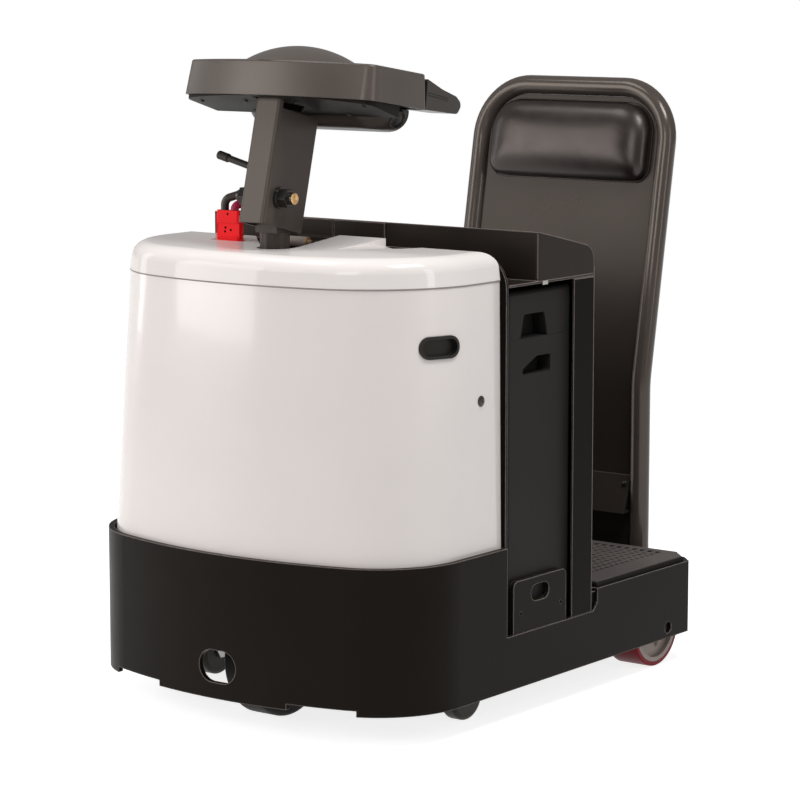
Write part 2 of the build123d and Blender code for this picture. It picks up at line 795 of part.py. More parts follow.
def post_pivot():
    half = post_width / 2 + seat
    bolt = rod_x(-half, half, bolt_y, pivot_z, pivot_radius)
    nut_start = half + collar_thick
    nut_end = nut_start + nut_thick
    for side in sides:
        collar = rod_x(half, nut_start, bolt_y, pivot_z, collar_radius)
        nut = Pos(nut_start, bolt_y, pivot_z) * extrude(Plane.YZ * RegularPolygon(nut_radius, 6), nut_thick)
        tip = rod_x(nut_end, nut_end + tip_length, bolt_y, pivot_z, pivot_radius)
        end = collar + nut + tip
        bolt += end if side > 0 else mirror(end, about=Plane.YZ)
    return bolt


def head_outline(inset):
    """The head's plan, moved inwards by inset: a bowed front, round front corners and sides that taper."""
    half = head_half - inset
    back = head_back_half - inset
    front = head_bow / 2 + inset
    face = make_face([ThreePointArc((-half, front), (0, front - head_bow), (half, front)),
                      Line((half, front), (back, head_depth - inset)),
                      Line((back, head_depth - inset), (-back, head_depth - inset)),
                      Line((-back, head_depth - inset), (-half, front))])
    corners = face.vertices().sort_by(Axis.Y)
    face = fillet(corners[:2], head_corner - inset)
    return upward(fillet(face.vertices().sort_by(Axis.Y)[-2:], head_round - inset))


def head_body(inset, high):
    """The head's block, a little narrower at its top."""
    return loft([head_outline(inset), Pos(0, 0, high) * head_outline(inset + head_draft)], ruled=True)


def head_housing():
    shell = head_body(0, head_height)
    shell = fillet(shell.faces().sort_by(Axis.Z)[-1].edges(), head_edge)
    ball = (dome_radius ** 2 + dome_rise ** 2) / (2 * dome_rise)
    dome = Pos(0, dome_y, head_height + dome_rise - ball) * Sphere(ball)
    dome &= rod_z(0, dome_y, head_height - 1, head_height + 2 * dome_rise, 2 * dome_radius)
    core = head_body(head_wall, head_height - head_wall)
    return head_frame * (shell + dome - core)


def head_base():
    """The head's underside: a plate whose front part swells down towards the pod."""
    outline = head_outline(head_wall + head_draft / 4)
    high = base_lift + base_plate
    plate = extrude(Pos(0, 0, base_lift) * outline, base_plate)
    belly = extrude(Pos(0, 0, -belly_drop) * outline, belly_drop + high)
    belly &= side_profile([(-head_bow / 2, high), (pod_front - seat, high), (pod_front - seat, -belly_drop),
                           (-head_bow / 2, 0)], -head_half, head_half)
    window = Rot(0, 0, 45) * Rectangle(math.sqrt(2) * diamond_half, math.sqrt(2) * diamond_half)
    opening = extrude(Pos(0, diamond_y, -belly_drop) * window, head_height)
    opening += block(-post_width / 2 - seat, post_width / 2 + seat, -web_slot / 4, web_slot, -belly_drop,
                     head_height)
    return head_frame * (plate + belly - opening)


def hand_grips():
    points = [(head_depth + seat + step, rise) for step, rise in grip_shape]
    grip = side_profile(points, grip_in, grip_out)
    grip = fillet(grip.edges().filter_by(Axis.X).sort_by(Axis.Y)[-3:], grip_round)
    return both_sides(head_frame * grip)


def head_pod():
    middle = pod_front + pod_length / 2
    plan = RectangleRounded(2 * pod_half, pod_length, pod_corner)
    bowl = extrude(Pos(0, middle, -pod_drop) * plan, pod_drop - seat)
    bowl = fillet(bowl.faces().sort_by(Axis.Z)[0].edges(), pod_round)
    return head_frame * bowl


def tilt_lever():
    start = (-post_width / 2 - seat, lever_y, lever_z)
    rise = math.radians(lever_rise)
    frame = Plane(origin=start, z_dir=(-math.cos(rise), 0, math.sin(rise)))
    rod = frame * (Pos(0, 0, lever_reach / 2) * Cylinder(lever_radius, lever_reach))
    sleeve = fillet(Cylinder(lever_tip_radius, lever_reach / 4).edges(), lever_radius / 2)
    tip = frame * (Pos(0, 0, lever_reach) * sleeve)
    return rod + tip - block(-post_width / 2 - seat, post_width, -head_depth, head_depth, 0, 2 * head_z)


def drive_unit():
    ring_low = drive_plate_low - ring_rise
    body = rod_z(0, 0, ring_low, drive_plate_top + ring_rise, flange_radius)
    body += rod_z(0, 0, drive_plate_top + ring_rise, motor_top - 2 * column_wall, motor_radius)
    body += rod_z(0, 0, motor_top - 2 * column_wall, motor_top, column_radius + column_wall)
    case_in = drive_width / 2 + move_gap
    case_out = case_in + gear_case_width
    case = Pos(0, 0, drive_radius) * (side_view * Circle(gear_case_radius))
    case = Pos(case_in, 0, 0) * extrude(case, gear_case_width)
    case += block(case_in, case_out, -gear_case_radius, gear_case_radius, drive_radius, ring_low)
    body += case & rod_z(0, 0, 0, ring_low, flange_radius + gear_case_width / 2)
    body += rod_x(drive_tyre_thick - drive_width / 2, case_in, 0, drive_radius, drive_axle_radius)
    return body


# Wheels
def wheel(x0, x1, y, radius, bore, edge_round):
    """A plain wheel of one piece about an axle along X that stands on the floor."""
    disc = rod_x(x0, x1, y, radius, radius)
    disc = fillet(disc.edges(), edge_round)
    return disc - rod_x(x0 - 1, x1 + 1, y, radius, bore)


def hub(x0, x1, y, z, radius, bore, dish, rim):
    """A dished hub about an axle along X: a rim, a web and a boss round the bore."""
    body = rod_x(x0, x1, y, z, radius)
    for a, b in ((x0, x0 + dish), (x1 - dish, x1)):
        body -= rod_x(a, b, y, z, radius - rim) - rod_x(a, b, y, z, bore + rim)
    return body - rod_x(x0 - 1, x1 + 1, y, z, bore)


def drive_hub():
    half = drive_width / 2
    return hub(-half, half, 0, drive_radius, drive_radius - drive_tyre_thick - run_fit,
               drive_axle_radius + run_fit,
               drive_tyre_thick, drive_edge_round)


def drive_tyre():
    half = drive_width / 2
    return wheel(-half, half, 0, drive_radius, drive_radius - drive_tyre_thick, drive_edge_round)


def rear_hub():
    return hub(rear_face_x - rear_width, rear_face_x, rear_wheel_y, rear_radius,
               rear_radius - rear_tread_thick - run_fit, rear_axle_radius + run_fit, rear_tread_thick,
               rear_tread_thick)


def rear_tread():
    return wheel(rear_face_x - rear_width, rear_face_x, rear_wheel_y, rear_radius,
                 rear_radius - rear_tread_thick,
                 rear_tread_thick / 3)


def rear_axles():
    hanger_out = rear_face_x - rear_width - rear_hub_gap
    axle = rod_x(hanger_out - hanger_plate, rear_face_x + seat, rear_wheel_y, rear_radius, rear_axle_radius)
    cap = rod_x(rear_face_x + seat, rear_face_x + seat + axle_cap_thick, rear_wheel_y, rear_radius,
                axle_cap_radius)
    collar = rod_x(hanger_out, hanger_out + rear_hub_gap - seat, rear_wheel_y, rear_radius, axle_cap_radius)
    return both_sides(axle + cap + collar)


def caster_posts():
    foot = caster_foot_z + caster_foot_thick
    post = rod_z(caster_x, caster_y, foot, drive_plate_low, caster_post_radius)
    post += rod_z(caster_x, caster_y, caster_foot_z, foot, caster_foot_radius)
    post -= rod_z(caster_x, caster_y, 0, caster_foot_z + caster_pin_length + seat,
                  caster_pin_radius + run_fit)
    return both_sides(post)


def caster_fork():
    crown_top = caster_foot_z - seat
    crown_low = crown_top - caster_crown_thick
    crown = rod_z(caster_x, caster_y, crown_low, crown_top, caster_foot_radius)
    crown += rod_z(caster_x, caster_y, crown_low, caster_foot_z + caster_pin_length, caster_pin_radius)
    wheel_y = caster_y + caster_trail
    inside = caster_width / 2 + caster_side_gap
    wide = caster_foot_radius * 0.7
    narrow = 2 * caster_axle_radius
    toe = caster_radius - narrow * 0.8
    for side in sides:
        cheek_x = caster_x + side * (inside + caster_cheek / 2)
        crown += side_profile([(caster_y - wide, crown_low), (caster_y + wide, crown_low),
                               (wheel_y + narrow, caster_radius), (wheel_y + narrow / 2, toe),
                               (wheel_y - narrow / 2, toe), (wheel_y - narrow, caster_radius)],
                              cheek_x - caster_cheek / 2, cheek_x + caster_cheek / 2)
    reach = inside + caster_cheek
    return crown + rod_x(caster_x - reach, caster_x + reach, wheel_y, caster_radius, caster_axle_radius)


def caster_wheel():
    half = caster_width / 2
    return wheel(caster_x - half, caster_x + half, caster_y + caster_trail, caster_radius,
                 caster_axle_radius + run_fit, caster_width / 4)


def mirrored(shape):
    return mirror(shape, about=Plane.YZ)


nodes = {
    "chassis_frame": chassis_frame(),
    "drive_plate": drive_plate(),
    "front_bulkhead": front_bulkhead(),
    "battery_tray": battery_tray(),
    "rear_bulkhead": rear_bulkhead(),
    "console": console(),
    "platform": platform(),
    "platform_mat": platform_mat(),
    "hood_cover": hood_cover(),
    "hood_grommets": hood_grommets(),
    "hood_lid": hood_lid(),
    "stop_tube": stop_tube(),
    "battery_case": battery_case(),
    "battery_cap": battery_cap(),
    "battery_retainers": battery_retainers(),
    "charge_connector": charge_connector(),
    "lead_black": lead("lead_black"),
    "lead_red": lead("lead_red"),
    "backrest_frame": backrest_frame(),
    "backrest_panel": backrest_panel(),
    "backrest_pad": backrest_pad(),
    "backrest_brackets": backrest_brackets(),
    "tow_hitch": tow_hitch(),
    "rear_axles": rear_axles(),
    "caster_posts": caster_posts(),
    "steering_tube": steering_tube(),
    "steering_post": steering_post(),
    "post_pivot": post_pivot(),
    "head_housing": head_housing(),
    "head_base": head_base(),
    "head_pod": head_pod(),
    "hand_grips": hand_grips(),
    "tilt_lever": tilt_lever(),
    "drive_unit": drive_unit(),
    "drive_hub": drive_hub(),
    "drive_tyre": drive_tyre(),
    "rear_hub_left": rear_hub(),
    "rear_tread_left": rear_tread(),
    "rear_hub_right": mirrored(rear_hub()),
    "rear_tread_right": mirrored(rear_tread()),
    "caster_fork_left": caster_fork(),
    "caster_wheel_left": caster_wheel(),
    "caster_fork_right": mirrored(caster_fork()),
    "caster_wheel_right": mirrored(caster_wheel()),
}

os.makedirs("parts", exist_ok=True)
for name, shape in nodes.items():
    export_step(Pos(0, -footprint_middle, 0) * shape, f"parts/{name}.step")
print("pieces", len(nodes), "footprint middle", round(footprint_middle, 3))
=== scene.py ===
import json
import math
import bmesh
import bpy
from mathutils import Matrix, Vector

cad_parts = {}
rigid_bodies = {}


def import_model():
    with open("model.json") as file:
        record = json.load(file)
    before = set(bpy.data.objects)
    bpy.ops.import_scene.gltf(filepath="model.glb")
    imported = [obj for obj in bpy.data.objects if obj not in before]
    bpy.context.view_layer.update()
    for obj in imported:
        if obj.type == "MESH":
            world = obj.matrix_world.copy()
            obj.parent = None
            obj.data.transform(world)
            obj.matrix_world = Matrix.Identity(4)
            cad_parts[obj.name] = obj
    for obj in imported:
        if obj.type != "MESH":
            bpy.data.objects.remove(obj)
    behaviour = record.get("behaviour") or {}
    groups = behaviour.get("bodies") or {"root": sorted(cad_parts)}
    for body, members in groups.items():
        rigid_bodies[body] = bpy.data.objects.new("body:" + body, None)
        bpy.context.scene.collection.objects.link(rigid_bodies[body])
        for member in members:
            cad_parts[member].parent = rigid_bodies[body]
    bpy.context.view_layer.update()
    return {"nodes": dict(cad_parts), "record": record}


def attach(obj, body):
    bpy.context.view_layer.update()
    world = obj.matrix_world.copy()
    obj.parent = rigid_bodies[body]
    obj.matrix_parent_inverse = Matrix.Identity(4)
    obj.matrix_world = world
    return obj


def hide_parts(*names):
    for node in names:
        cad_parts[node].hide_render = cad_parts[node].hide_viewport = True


# %% [markdown]
# # A stand-on tow tractor, dressed in Blender
# The imported model brings the truck's steel and plastic pieces in metres, with the floor at height 0.
# This lesson adds what a CAD model leaves out: paint, rubber, leather, fasteners and light.

# %% Load the frame
for leftover in list(bpy.data.objects):
    bpy.data.objects.remove(leftover)
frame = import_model()
nodes = frame["nodes"]

# %% [markdown]
# The truck was drawn from its steering shaft, in millimetres, with the rear in +Y.
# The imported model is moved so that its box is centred, so one small helper turns workshop millimetres
# into places in the scene. Everything below can then be written as on a drawing.

# %% Workshop millimetres
shaft_to_middle = 458.707


def at(x, y, z):
    return Vector((x / 1000, (y - shaft_to_middle) / 1000, z / 1000))


print("steering shaft stands at", tuple(round(c, 4) for c in at(0, 0, 0)))

# %% [markdown]
# A long lens looks down on the truck's front left corner. A real photographer stands well back, so that
# the hood does not bulge. The numbers come from lines of known length in the picture. The focal length is
# kept in pixels and turned into millimetres for a 36 mm sensor on the picture's longer side.

# %% Camera
focal_pixels, long_side = 2988.05, 801
looks_down, turned_left = math.radians(8.412), math.radians(37.011)
lens_data = bpy.data.cameras.new("photo_lens")
lens_data.sensor_width = 36.0
lens_data.lens = focal_pixels / long_side * lens_data.sensor_width
lens_data.clip_end = 900
camera = bpy.data.objects.new("photo_camera", lens_data)
bpy.context.collection.objects.link(camera)
camera.location = (3.7746, -5.0513, 1.5220)
camera.rotation_euler = (math.pi / 2 - looks_down, 0, turned_left)
bpy.context.scene.camera = camera
print("lens", round(lens_data.lens, 2), "mm")

# %% [markdown]
# ## Light
# A studio for machines is a pale room with big soft boxes. The floor has no edge and no horizon in the picture:
# a very wide disc, with a little glow of its own for whoever looks at it or mirrors it, stays white far away,
# and near the truck it still takes the soft shadow. The room itself is an even, slightly warm fill.

# %% Floor and room
bpy.context.scene.view_settings.view_transform = "Standard"
floor_radius, floor_glow = 320, 0.82
floor_mesh = bpy.data.meshes.new("studio_floor")
floor_build = bmesh.new()
bmesh.ops.create_circle(floor_build, cap_ends=True, segments=96, radius=floor_radius)
floor_build.to_mesh(floor_mesh)
floor_build.free()
studio_floor = bpy.data.objects.new("studio_floor", floor_mesh)
bpy.context.collection.objects.link(studio_floor)


def add(tree, kind, operation=None, **fixed):
    """A node with some of its inputs set: _0 is the first input, _Scale the one called Scale."""
    node = tree.nodes.new(kind)
    if operation:
        node.operation = operation
    for label, value in fixed.items():
        node.inputs[int(label[1:]) if label[1:].isdigit() else label[1:].replace("_", " ")].default_value = value
    return node


paper = bpy.data.materials.new("studio_paper")
paper.use_nodes = True
sheet = paper.node_tree
sheet.nodes.clear()
paper_end = add(sheet, "ShaderNodeOutputMaterial")
matt = add(sheet, "ShaderNodeBsdfDiffuse", _Color=(0.60, 0.61, 0.625, 1))
glow = add(sheet, "ShaderNodeEmission")
seen = add(sheet, "ShaderNodeLightPath")
looked_at = add(sheet, "ShaderNodeMath", "MAXIMUM")
shown = add(sheet, "ShaderNodeMath", "MAXIMUM")
level = add(sheet, "ShaderNodeMath", "MULTIPLY", _1=floor_glow)
both = add(sheet, "ShaderNodeAddShader")
for start, end in ((seen.outputs["Is Camera Ray"], looked_at.inputs[0]),
                   (seen.outputs["Is Glossy Ray"], looked_at.inputs[1]),
                   (looked_at.outputs[0], shown.inputs[0]), (seen.outputs["Is Transmission Ray"], shown.inputs[1]),
                   (shown.outputs[0], level.inputs[0]), (level.outputs[0], glow.inputs["Strength"]),
                   (matt.outputs[0], both.inputs[0]), (glow.outputs[0], both.inputs[1]),
                   (both.outputs[0], paper_end.inputs["Surface"])):
    sheet.links.new(start, end)
floor_mesh.materials.append(paper)

room = bpy.data.worlds.new("pale_room")
bpy.context.scene.world = room
room.use_nodes = True
fill = room.node_tree.nodes["Background"]
fill.inputs["Color"].default_value = (1.0, 0.985, 0.97, 1)
fill.inputs["Strength"].default_value = 0.30
print("floor", len(floor_mesh.vertices), "points; room fill", fill.inputs["Strength"].default_value)

# %% [markdown]
# Six soft boxes. The large one on the left front lights the hood's face, a weaker one in front fills its middle, two
# overhead draw the bright top and the streak along the lid's front edge, and a narrow one on each side picks out
# the post's corner, the bent tube, the lid's shoulders and the end of the head's rim.

# %% Soft boxes
aim_point = Vector((0, 0, 0.65))


def soft_box(name, place, wide, high, watts, tint=(1, 1, 1)):
    data = bpy.data.lights.new(name, "AREA")
    data.shape = "RECTANGLE"
    data.size, data.size_y, data.energy, data.color = wide, high, watts, tint
    lamp = bpy.data.objects.new(name, data)
    bpy.context.collection.objects.link(lamp)
    lamp.location = place
    lamp.rotation_euler = (aim_point - Vector(place)).to_track_quat("-Z", "Y").to_euler()


soft_box("left_front_box", (-2.9, -3.5, 1.75), 2.2, 2.6, 74, (1.0, 0.975, 0.955))
soft_box("front_fill", (1.3, -4.6, 2.6), 1.6, 1.6, 40, (1.0, 0.98, 0.965))
soft_box("overhead_left", (-1.0, -0.8, 3.5), 1.4, 0.9, 20)
soft_box("overhead_right", (1.5, -0.4, 3.3), 1.1, 0.9, 50)
soft_box("right_strip", (3.9, -0.2, 2.0), 0.55, 2.2, 18)
soft_box("left_strip", (-4.2, -0.9, 1.6), 0.8, 2.4, 14)

# %% [markdown]
# ## Finishes
# Three effects turn up in almost every finish, so each is a shader group built once.
# *Soft edge*: no real edge is knife sharp. The Bevel node bends the normal near an edge, so that it catches light,
# and the angle between the bent and the true normal tells where an edge gets a lighter tone: paint wear, and on the
# dark paints mostly a painted highlight.
# *Grain*: fine height for texture and a slow mottle for colour.
# *Dust*: a mask for faces that look up, thickest low down.

# %% Shader groups


def shader_group(name, inputs, outputs):
    group = bpy.data.node_groups.new(name, "ShaderNodeTree")
    for label, value in inputs:
        socket = group.interface.new_socket(name=label, in_out="INPUT", socket_type="NodeSocketFloat")
        socket.default_value = value
    for label, kind in outputs:
        group.interface.new_socket(name=label, in_out="OUTPUT", socket_type=kind)
    return group, group.nodes.new("NodeGroupInput"), group.nodes.new("NodeGroupOutput")


soft_edge, edge_in, edge_out = shader_group(
    "soft_edge", [("Radius", 0.0015)], [("Normal", "NodeSocketVector"), ("Edge", "NodeSocketFloat")])
rounder = add(soft_edge, "ShaderNodeBevel")
rounder.samples = 4
true_face = add(soft_edge, "ShaderNodeNewGeometry")
agree = add(soft_edge, "ShaderNodeVectorMath", "DOT_PRODUCT")
bend = add(soft_edge, "ShaderNodeMath", "SUBTRACT", _0=1.0)
stretch = add(soft_edge, "ShaderNodeMath", "MULTIPLY", _1=4.0)
stretch.use_clamp = True
soft_edge.links.new(edge_in.outputs["Radius"], rounder.inputs["Radius"])
soft_edge.links.new(rounder.outputs[0], agree.inputs[0])
soft_edge.links.new(true_face.outputs["Normal"], agree.inputs[1])
soft_edge.links.new(agree.outputs["Value"], bend.inputs[1])
soft_edge.links.new(bend.outputs[0], stretch.inputs[0])
soft_edge.links.new(rounder.outputs[0], edge_out.inputs["Normal"])
soft_edge.links.new(stretch.outputs[0], edge_out.inputs["Edge"])

grain, grain_in, grain_out = shader_group(
    "grain", [("Fine Scale", 900.0), ("Slow Scale", 6.0)],
    [("Height", "NodeSocketFloat"), ("Mottle", "NodeSocketFloat")])
place_on = add(grain, "ShaderNodeTexCoord")
fine = add(grain, "ShaderNodeTexNoise", _Detail=2.0)
slow = add(grain, "ShaderNodeTexNoise", _Detail=5.0, _Roughness=0.6)
for texture, label in ((fine, "Fine Scale"), (slow, "Slow Scale")):
    grain.links.new(place_on.outputs["Object"], texture.inputs["Vector"])
    grain.links.new(grain_in.outputs[label], texture.inputs["Scale"])
grain.links.new(fine.outputs[0], grain_out.inputs["Height"])
grain.links.new(slow.outputs[0], grain_out.inputs["Mottle"])

dust, dust_in, dust_out = shader_group(
    "dust", [("Amount", 0.2), ("Reach", 0.5)], [("Mask", "NodeSocketFloat")])
dust_face = add(dust, "ShaderNodeNewGeometry")
split_face = add(dust, "ShaderNodeSeparateXYZ")
looks_up = add(dust, "ShaderNodeMath", "MAXIMUM", _1=0.12)
dust_place = add(dust, "ShaderNodeTexCoord")
split_place = add(dust, "ShaderNodeSeparateXYZ")
height = add(dust, "ShaderNodeMath", "DIVIDE")
low_down = add(dust, "ShaderNodeMath", "SUBTRACT", _0=1.0)
low_down.use_clamp = True
patches = add(dust, "ShaderNodeTexNoise", _Scale=14.0, _Detail=6.0, _Roughness=0.7)
up_low = add(dust, "ShaderNodeMath", "MULTIPLY")
up_low_patch = add(dust, "ShaderNodeMath", "MULTIPLY")
scaled = add(dust, "ShaderNodeMath", "MULTIPLY")
dust.links.new(dust_face.outputs["Normal"], split_face.inputs[0])
dust.links.new(split_face.outputs["Z"], looks_up.inputs[0])
dust.links.new(dust_place.outputs["Object"], split_place.inputs[0])
dust.links.new(dust_place.outputs["Object"], patches.inputs["Vector"])
dust.links.new(split_place.outputs["Z"], height.inputs[0])
dust.links.new(dust_in.outputs["Reach"], height.inputs[1])
dust.links.new(height.outputs[0], low_down.inputs[1])
dust.links.new(looks_up.outputs[0], up_low.inputs[0])
dust.links.new(low_down.outputs[0], up_low.inputs[1])
dust.links.new(up_low.outputs[0], up_low_patch.inputs[0])
dust.links.new(patches.outputs[0], up_low_patch.inputs[1])
dust.links.new(up_low_patch.outputs[0], scaled.inputs[0])
dust.links.new(dust_in.outputs["Amount"], scaled.inputs[1])
dust.links.new(scaled.outputs[0], dust_out.inputs["Mask"])
print("shader groups", [g.name for g in bpy.data.node_groups])

# %% [markdown]
# One helper lays the same layers for every hard finish: base colour with a slow mottle, a lighter tone along edges
# (wear, and on the dark paints a painted highlight), dust on top, and the grain as a shallow bump over the rounded
# normal. Each finish then differs only in its numbers, as tins of paint do. Values that are the same all over go
# straight onto the shader.

# %% Finish helper
finishes = {}
dust_tone = (0.23, 0.21, 0.19, 1)


def mixed(tree, factor, first, second):
    node = tree.nodes.new("ShaderNodeMix")
    node.data_type = "RGBA"
    for socket, value in ((node.inputs[0], factor), (node.inputs[6], first), (node.inputs[7], second)):
        if isinstance(value, bpy.types.NodeSocket):
            tree.links.new(value, socket)
        else:
            socket.default_value = value
    return node.outputs[2]


def ranged(tree, value, low, high):
    node = tree.nodes.new("ShaderNodeMapRange")
    node.inputs["To Min"].default_value, node.inputs["To Max"].default_value = low, high
    node.inputs["From Min"].default_value, node.inputs["From Max"].default_value = 0.3, 0.7
    tree.links.new(value, node.inputs["Value"])
    return node.outputs[0]


def grouped(tree, group, **values):
    node = tree.nodes.new("ShaderNodeGroup")
    node.node_tree = group
    for label, value in values.items():
        node.inputs[label.replace("_", " ")].default_value = value
    return node


def finish(name, colour, rough, fine=900, depth=0.00003, mottle=0.12, edge=0.0015, wear_and_highlight=(0.2, 0.19, 0.18),
           wear_and_highlight_share=0.25, dust_share=0.25, reach=0.6, metal=0.0, specular=0.5, coat=0.0, coat_rough=0.1,
           tint=(1.0, 0.88, 0.79)):
    material = bpy.data.materials.new(name)
    material.use_nodes = True
    tree = material.node_tree
    shader = tree.nodes["Principled BSDF"]
    texture = grouped(tree, grain, Fine_Scale=fine)
    rounded = grouped(tree, soft_edge, Radius=edge)
    dirt = grouped(tree, dust, Amount=dust_share, Reach=reach)
    darker = tuple(c * (1 - mottle) for c in colour) + (1,)
    lighter = tuple(min(1, c * (1 + mottle)) for c in colour) + (1,)
    tone = mixed(tree, ranged(tree, texture.outputs["Mottle"], 0, 1), darker, lighter)
    # Lighter tone along edges: wear, and a painted highlight where the share is high.
    worn_and_lit_edge = add(tree, "ShaderNodeMath", "MULTIPLY", _1=wear_and_highlight_share)
    tree.links.new(rounded.outputs["Edge"], worn_and_lit_edge.inputs[0])
    tone = mixed(tree, worn_and_lit_edge.outputs[0], tone, wear_and_highlight + (1,))
    tone = mixed(tree, dirt.outputs["Mask"], tone, dust_tone)
    tree.links.new(tone, shader.inputs["Base Color"])
    tree.links.new(ranged(tree, texture.outputs["Mottle"], rough * 0.88, min(1, rough * 1.12)),
                   shader.inputs["Roughness"])
    bump = add(tree, "ShaderNodeBump", _Strength=1.0, _Distance=depth)
    tree.links.new(texture.outputs["Height"], bump.inputs["Height"])
    tree.links.new(rounded.outputs["Normal"], bump.inputs["Normal"])
    tree.links.new(bump.outputs[0], shader.inputs["Normal"])
    shader.inputs["Metallic"].default_value = metal
    shader.inputs["Specular IOR Level"].default_value = specular
    shader.inputs["Specular Tint"].default_value = tint + (1,)
    shader.inputs["Coat Weight"].default_value = coat
    shader.inputs["Coat Roughness"].default_value = coat_rough
    finishes[name] = material


print("finish helper ready")

# %% [markdown]
# The frame is welded plate with a satin brown-black powder coat, a little uneven like orange peel. The hood is a
# smooth white moulding under a clear gloss. Post, head and backrest tube share a warm grey, rubber is duller and
# finer, and bare steel and brass show only on small fittings.

# %% Paints, plastics, rubbers and metals
# The three dark frame paints take a strong, light edge tone (share 1.0): a painted highlight along the sheet edges,
# with a little wear.
finish("frame_black", (0.0102, 0.0081, 0.0068), 0.36, 700, 0.00004, wear_and_highlight=(0.42, 0.36, 0.33), wear_and_highlight_share=1.0,
       edge=0.003, dust_share=0.03, specular=0.05)
# A darker copy of the frame paint: painted shade on the bulkheads, the battery tray, the flange skins and the gussets.
finish("flange_black", (0.0048, 0.0038, 0.0033), 0.36, 700, 0.00004, wear_and_highlight=(0.42, 0.36, 0.33), wear_and_highlight_share=1.0,
       edge=0.003, dust_share=0.0, specular=0.035)
# A lighter copy of the frame paint: painted light on the console and its front covers.
finish("console_brown", (0.024, 0.0190, 0.0163), 0.34, 700, 0.00004, wear_and_highlight=(0.42, 0.36, 0.33), wear_and_highlight_share=1.0,
       edge=0.0034, dust_share=0.0, specular=0.08)
finish("hood_white", (0.79, 0.735, 0.71), 0.20, 420, 0.000006, 0.012, 0.002, (0.84, 0.80, 0.78), 0.2, 0.04, 0.75,
       coat=0.4, coat_rough=0.06, tint=(1.0, 0.97, 0.95))
finish("lid_white", (0.80, 0.755, 0.735), 0.50, 420, 0.000006, 0.012, 0.002, (0.84, 0.80, 0.78), 0.2, 0.0,
       specular=0.05, coat=0.55, coat_rough=0.05, tint=(1.0, 0.97, 0.95))
finish("column_grey", (0.062, 0.0505, 0.0435), 0.30, 800, 0.00003, 0.08, 0.0025, (0.17, 0.15, 0.14), 0.35, 0.02,
       specular=0.26)
# Far lighter than the frame paint: a painted highlight for the rolled sheet edges.
finish("rolled_edge", (0.14, 0.118, 0.106), 0.30, 800, 0.00001, 0.06, 0.0005, (0.2, 0.17, 0.15), 0.2, 0.0, specular=0.3)
finish("panel_brown", (0.026, 0.0208, 0.0180), 0.25, 800, 0.00003, 0.08, 0.002, (0.12, 0.10, 0.09), 0.3, 0.0,
       specular=0.20)
finish("tube_gloss", (0.060, 0.049, 0.043), 0.19, 800, 0.00002, 0.06, 0.002, (0.15, 0.13, 0.12), 0.2, 0.0,
       specular=0.45)
# A darker copy of the column grey: painted shade on the steering tube under the post and on the head's pod.
finish("tube_dark", (0.038, 0.031, 0.027), 0.34, 800, 0.00003, 0.08, 0.002, (0.12, 0.10, 0.09), 0.3, 0.0,
       specular=0.22)
finish("head_plastic", (0.074, 0.0628, 0.056), 0.32, 1500, 0.00004, 0.07, 0.0025, (0.15, 0.13, 0.12), 0.15, 0.0,
       specular=0.45)
# A darker copy of the head plastic: painted shade on the head's underside.
finish("belly_black", (0.0085, 0.0070, 0.0062), 0.50, 1500, 0.00004, 0.07, 0.002, (0.08, 0.07, 0.065), 0.3, 0.0,
       specular=0.10)
finish("grip_black", (0.026, 0.022, 0.0195), 0.28, 1500, 0.00004, 0.07, 0.002, (0.10, 0.09, 0.08), 0.3, 0.0,
       specular=0.40)
finish("steel", (0.45, 0.44, 0.42), 0.34, 1400, 0.00002, 0.15, 0.001, (0.6, 0.58, 0.55), 0.3, 0.2, metal=1.0)
finish("bolt_black", (0.012, 0.0115, 0.011), 0.20, 1400, 0.00003, 0.1, 0.0014, (0.11, 0.10, 0.095), 0.4, 0.0)
finish("drive_iron", (0.055, 0.052, 0.050), 0.62, 500, 0.00015, 0.2, 0.002, (0.16, 0.15, 0.14), 0.3, 0.3)
finish("battery_black", (0.0165, 0.0155, 0.015), 0.46, 1100, 0.00006, 0.1, 0.003, (0.055, 0.051, 0.049), 0.3, 0.05,
       specular=0.08)
finish("mat_rubber", (0.013, 0.0115, 0.011), 0.70, 1300, 0.00005, 0.16, 0.0012, (0.05, 0.045, 0.043), 0.3, 0.05, 0.9,
       specular=0.1)
# A much lighter copy of the mat rubber: painted light on the raised ribs and border.
finish("mat_raised", (0.100, 0.089, 0.086), 0.58, 1300, 0.00005, 0.16, 0.0012, (0.11, 0.10, 0.097), 0.3, 0.05, 0.9,
       specular=0.2)
# Near-black: painted shade for the inside of holes.
finish("pin_dark", (0.012, 0.003, 0.003), 0.9, 900, 0.00002, 0.1, 0.0004, (0.02, 0.01, 0.01), 0.1, 0.0, specular=0.0)
finish("black_rubber", (0.010, 0.0095, 0.0095), 0.45, 1300, 0.00004, 0.1, 0.001, (0.04, 0.04, 0.04), 0.25, 0.1,
       specular=0.3)
finish("seal_grey", (0.30, 0.27, 0.255), 0.6, 1300, 0.00004, 0.1, 0.0005, (0.3, 0.28, 0.27), 0.1, 0.0, specular=0.2)
finish("connector_red", (0.92, 0.011, 0.018), 0.42, 1200, 0.00004, 0.06, 0.0008, (0.9, 0.10, 0.10), 0.3, 0.0,
       specular=0.10)
finish("lead_black", (0.013, 0.011, 0.011), 0.36, 900, 0.00004, 0.08, 0.0005, (0.03, 0.03, 0.03), 0.1, 0.0)
finish("lead_red", (0.36, 0.010, 0.060), 0.38, 900, 0.00004, 0.08, 0.0005, (0.5, 0.05, 0.1), 0.1, 0.0, specular=0.3)
finish("stop_beige", (0.56, 0.51, 0.46), 0.42, 1100, 0.00003, 0.06, 0.001, (0.7, 0.66, 0.6), 0.2, 0.0)
finish("brass", (0.80, 0.50, 0.22), 0.34, 1500, 0.00001, 0.06, 0.0005, (0.88, 0.66, 0.36), 0.4, 0.0, metal=0.85)
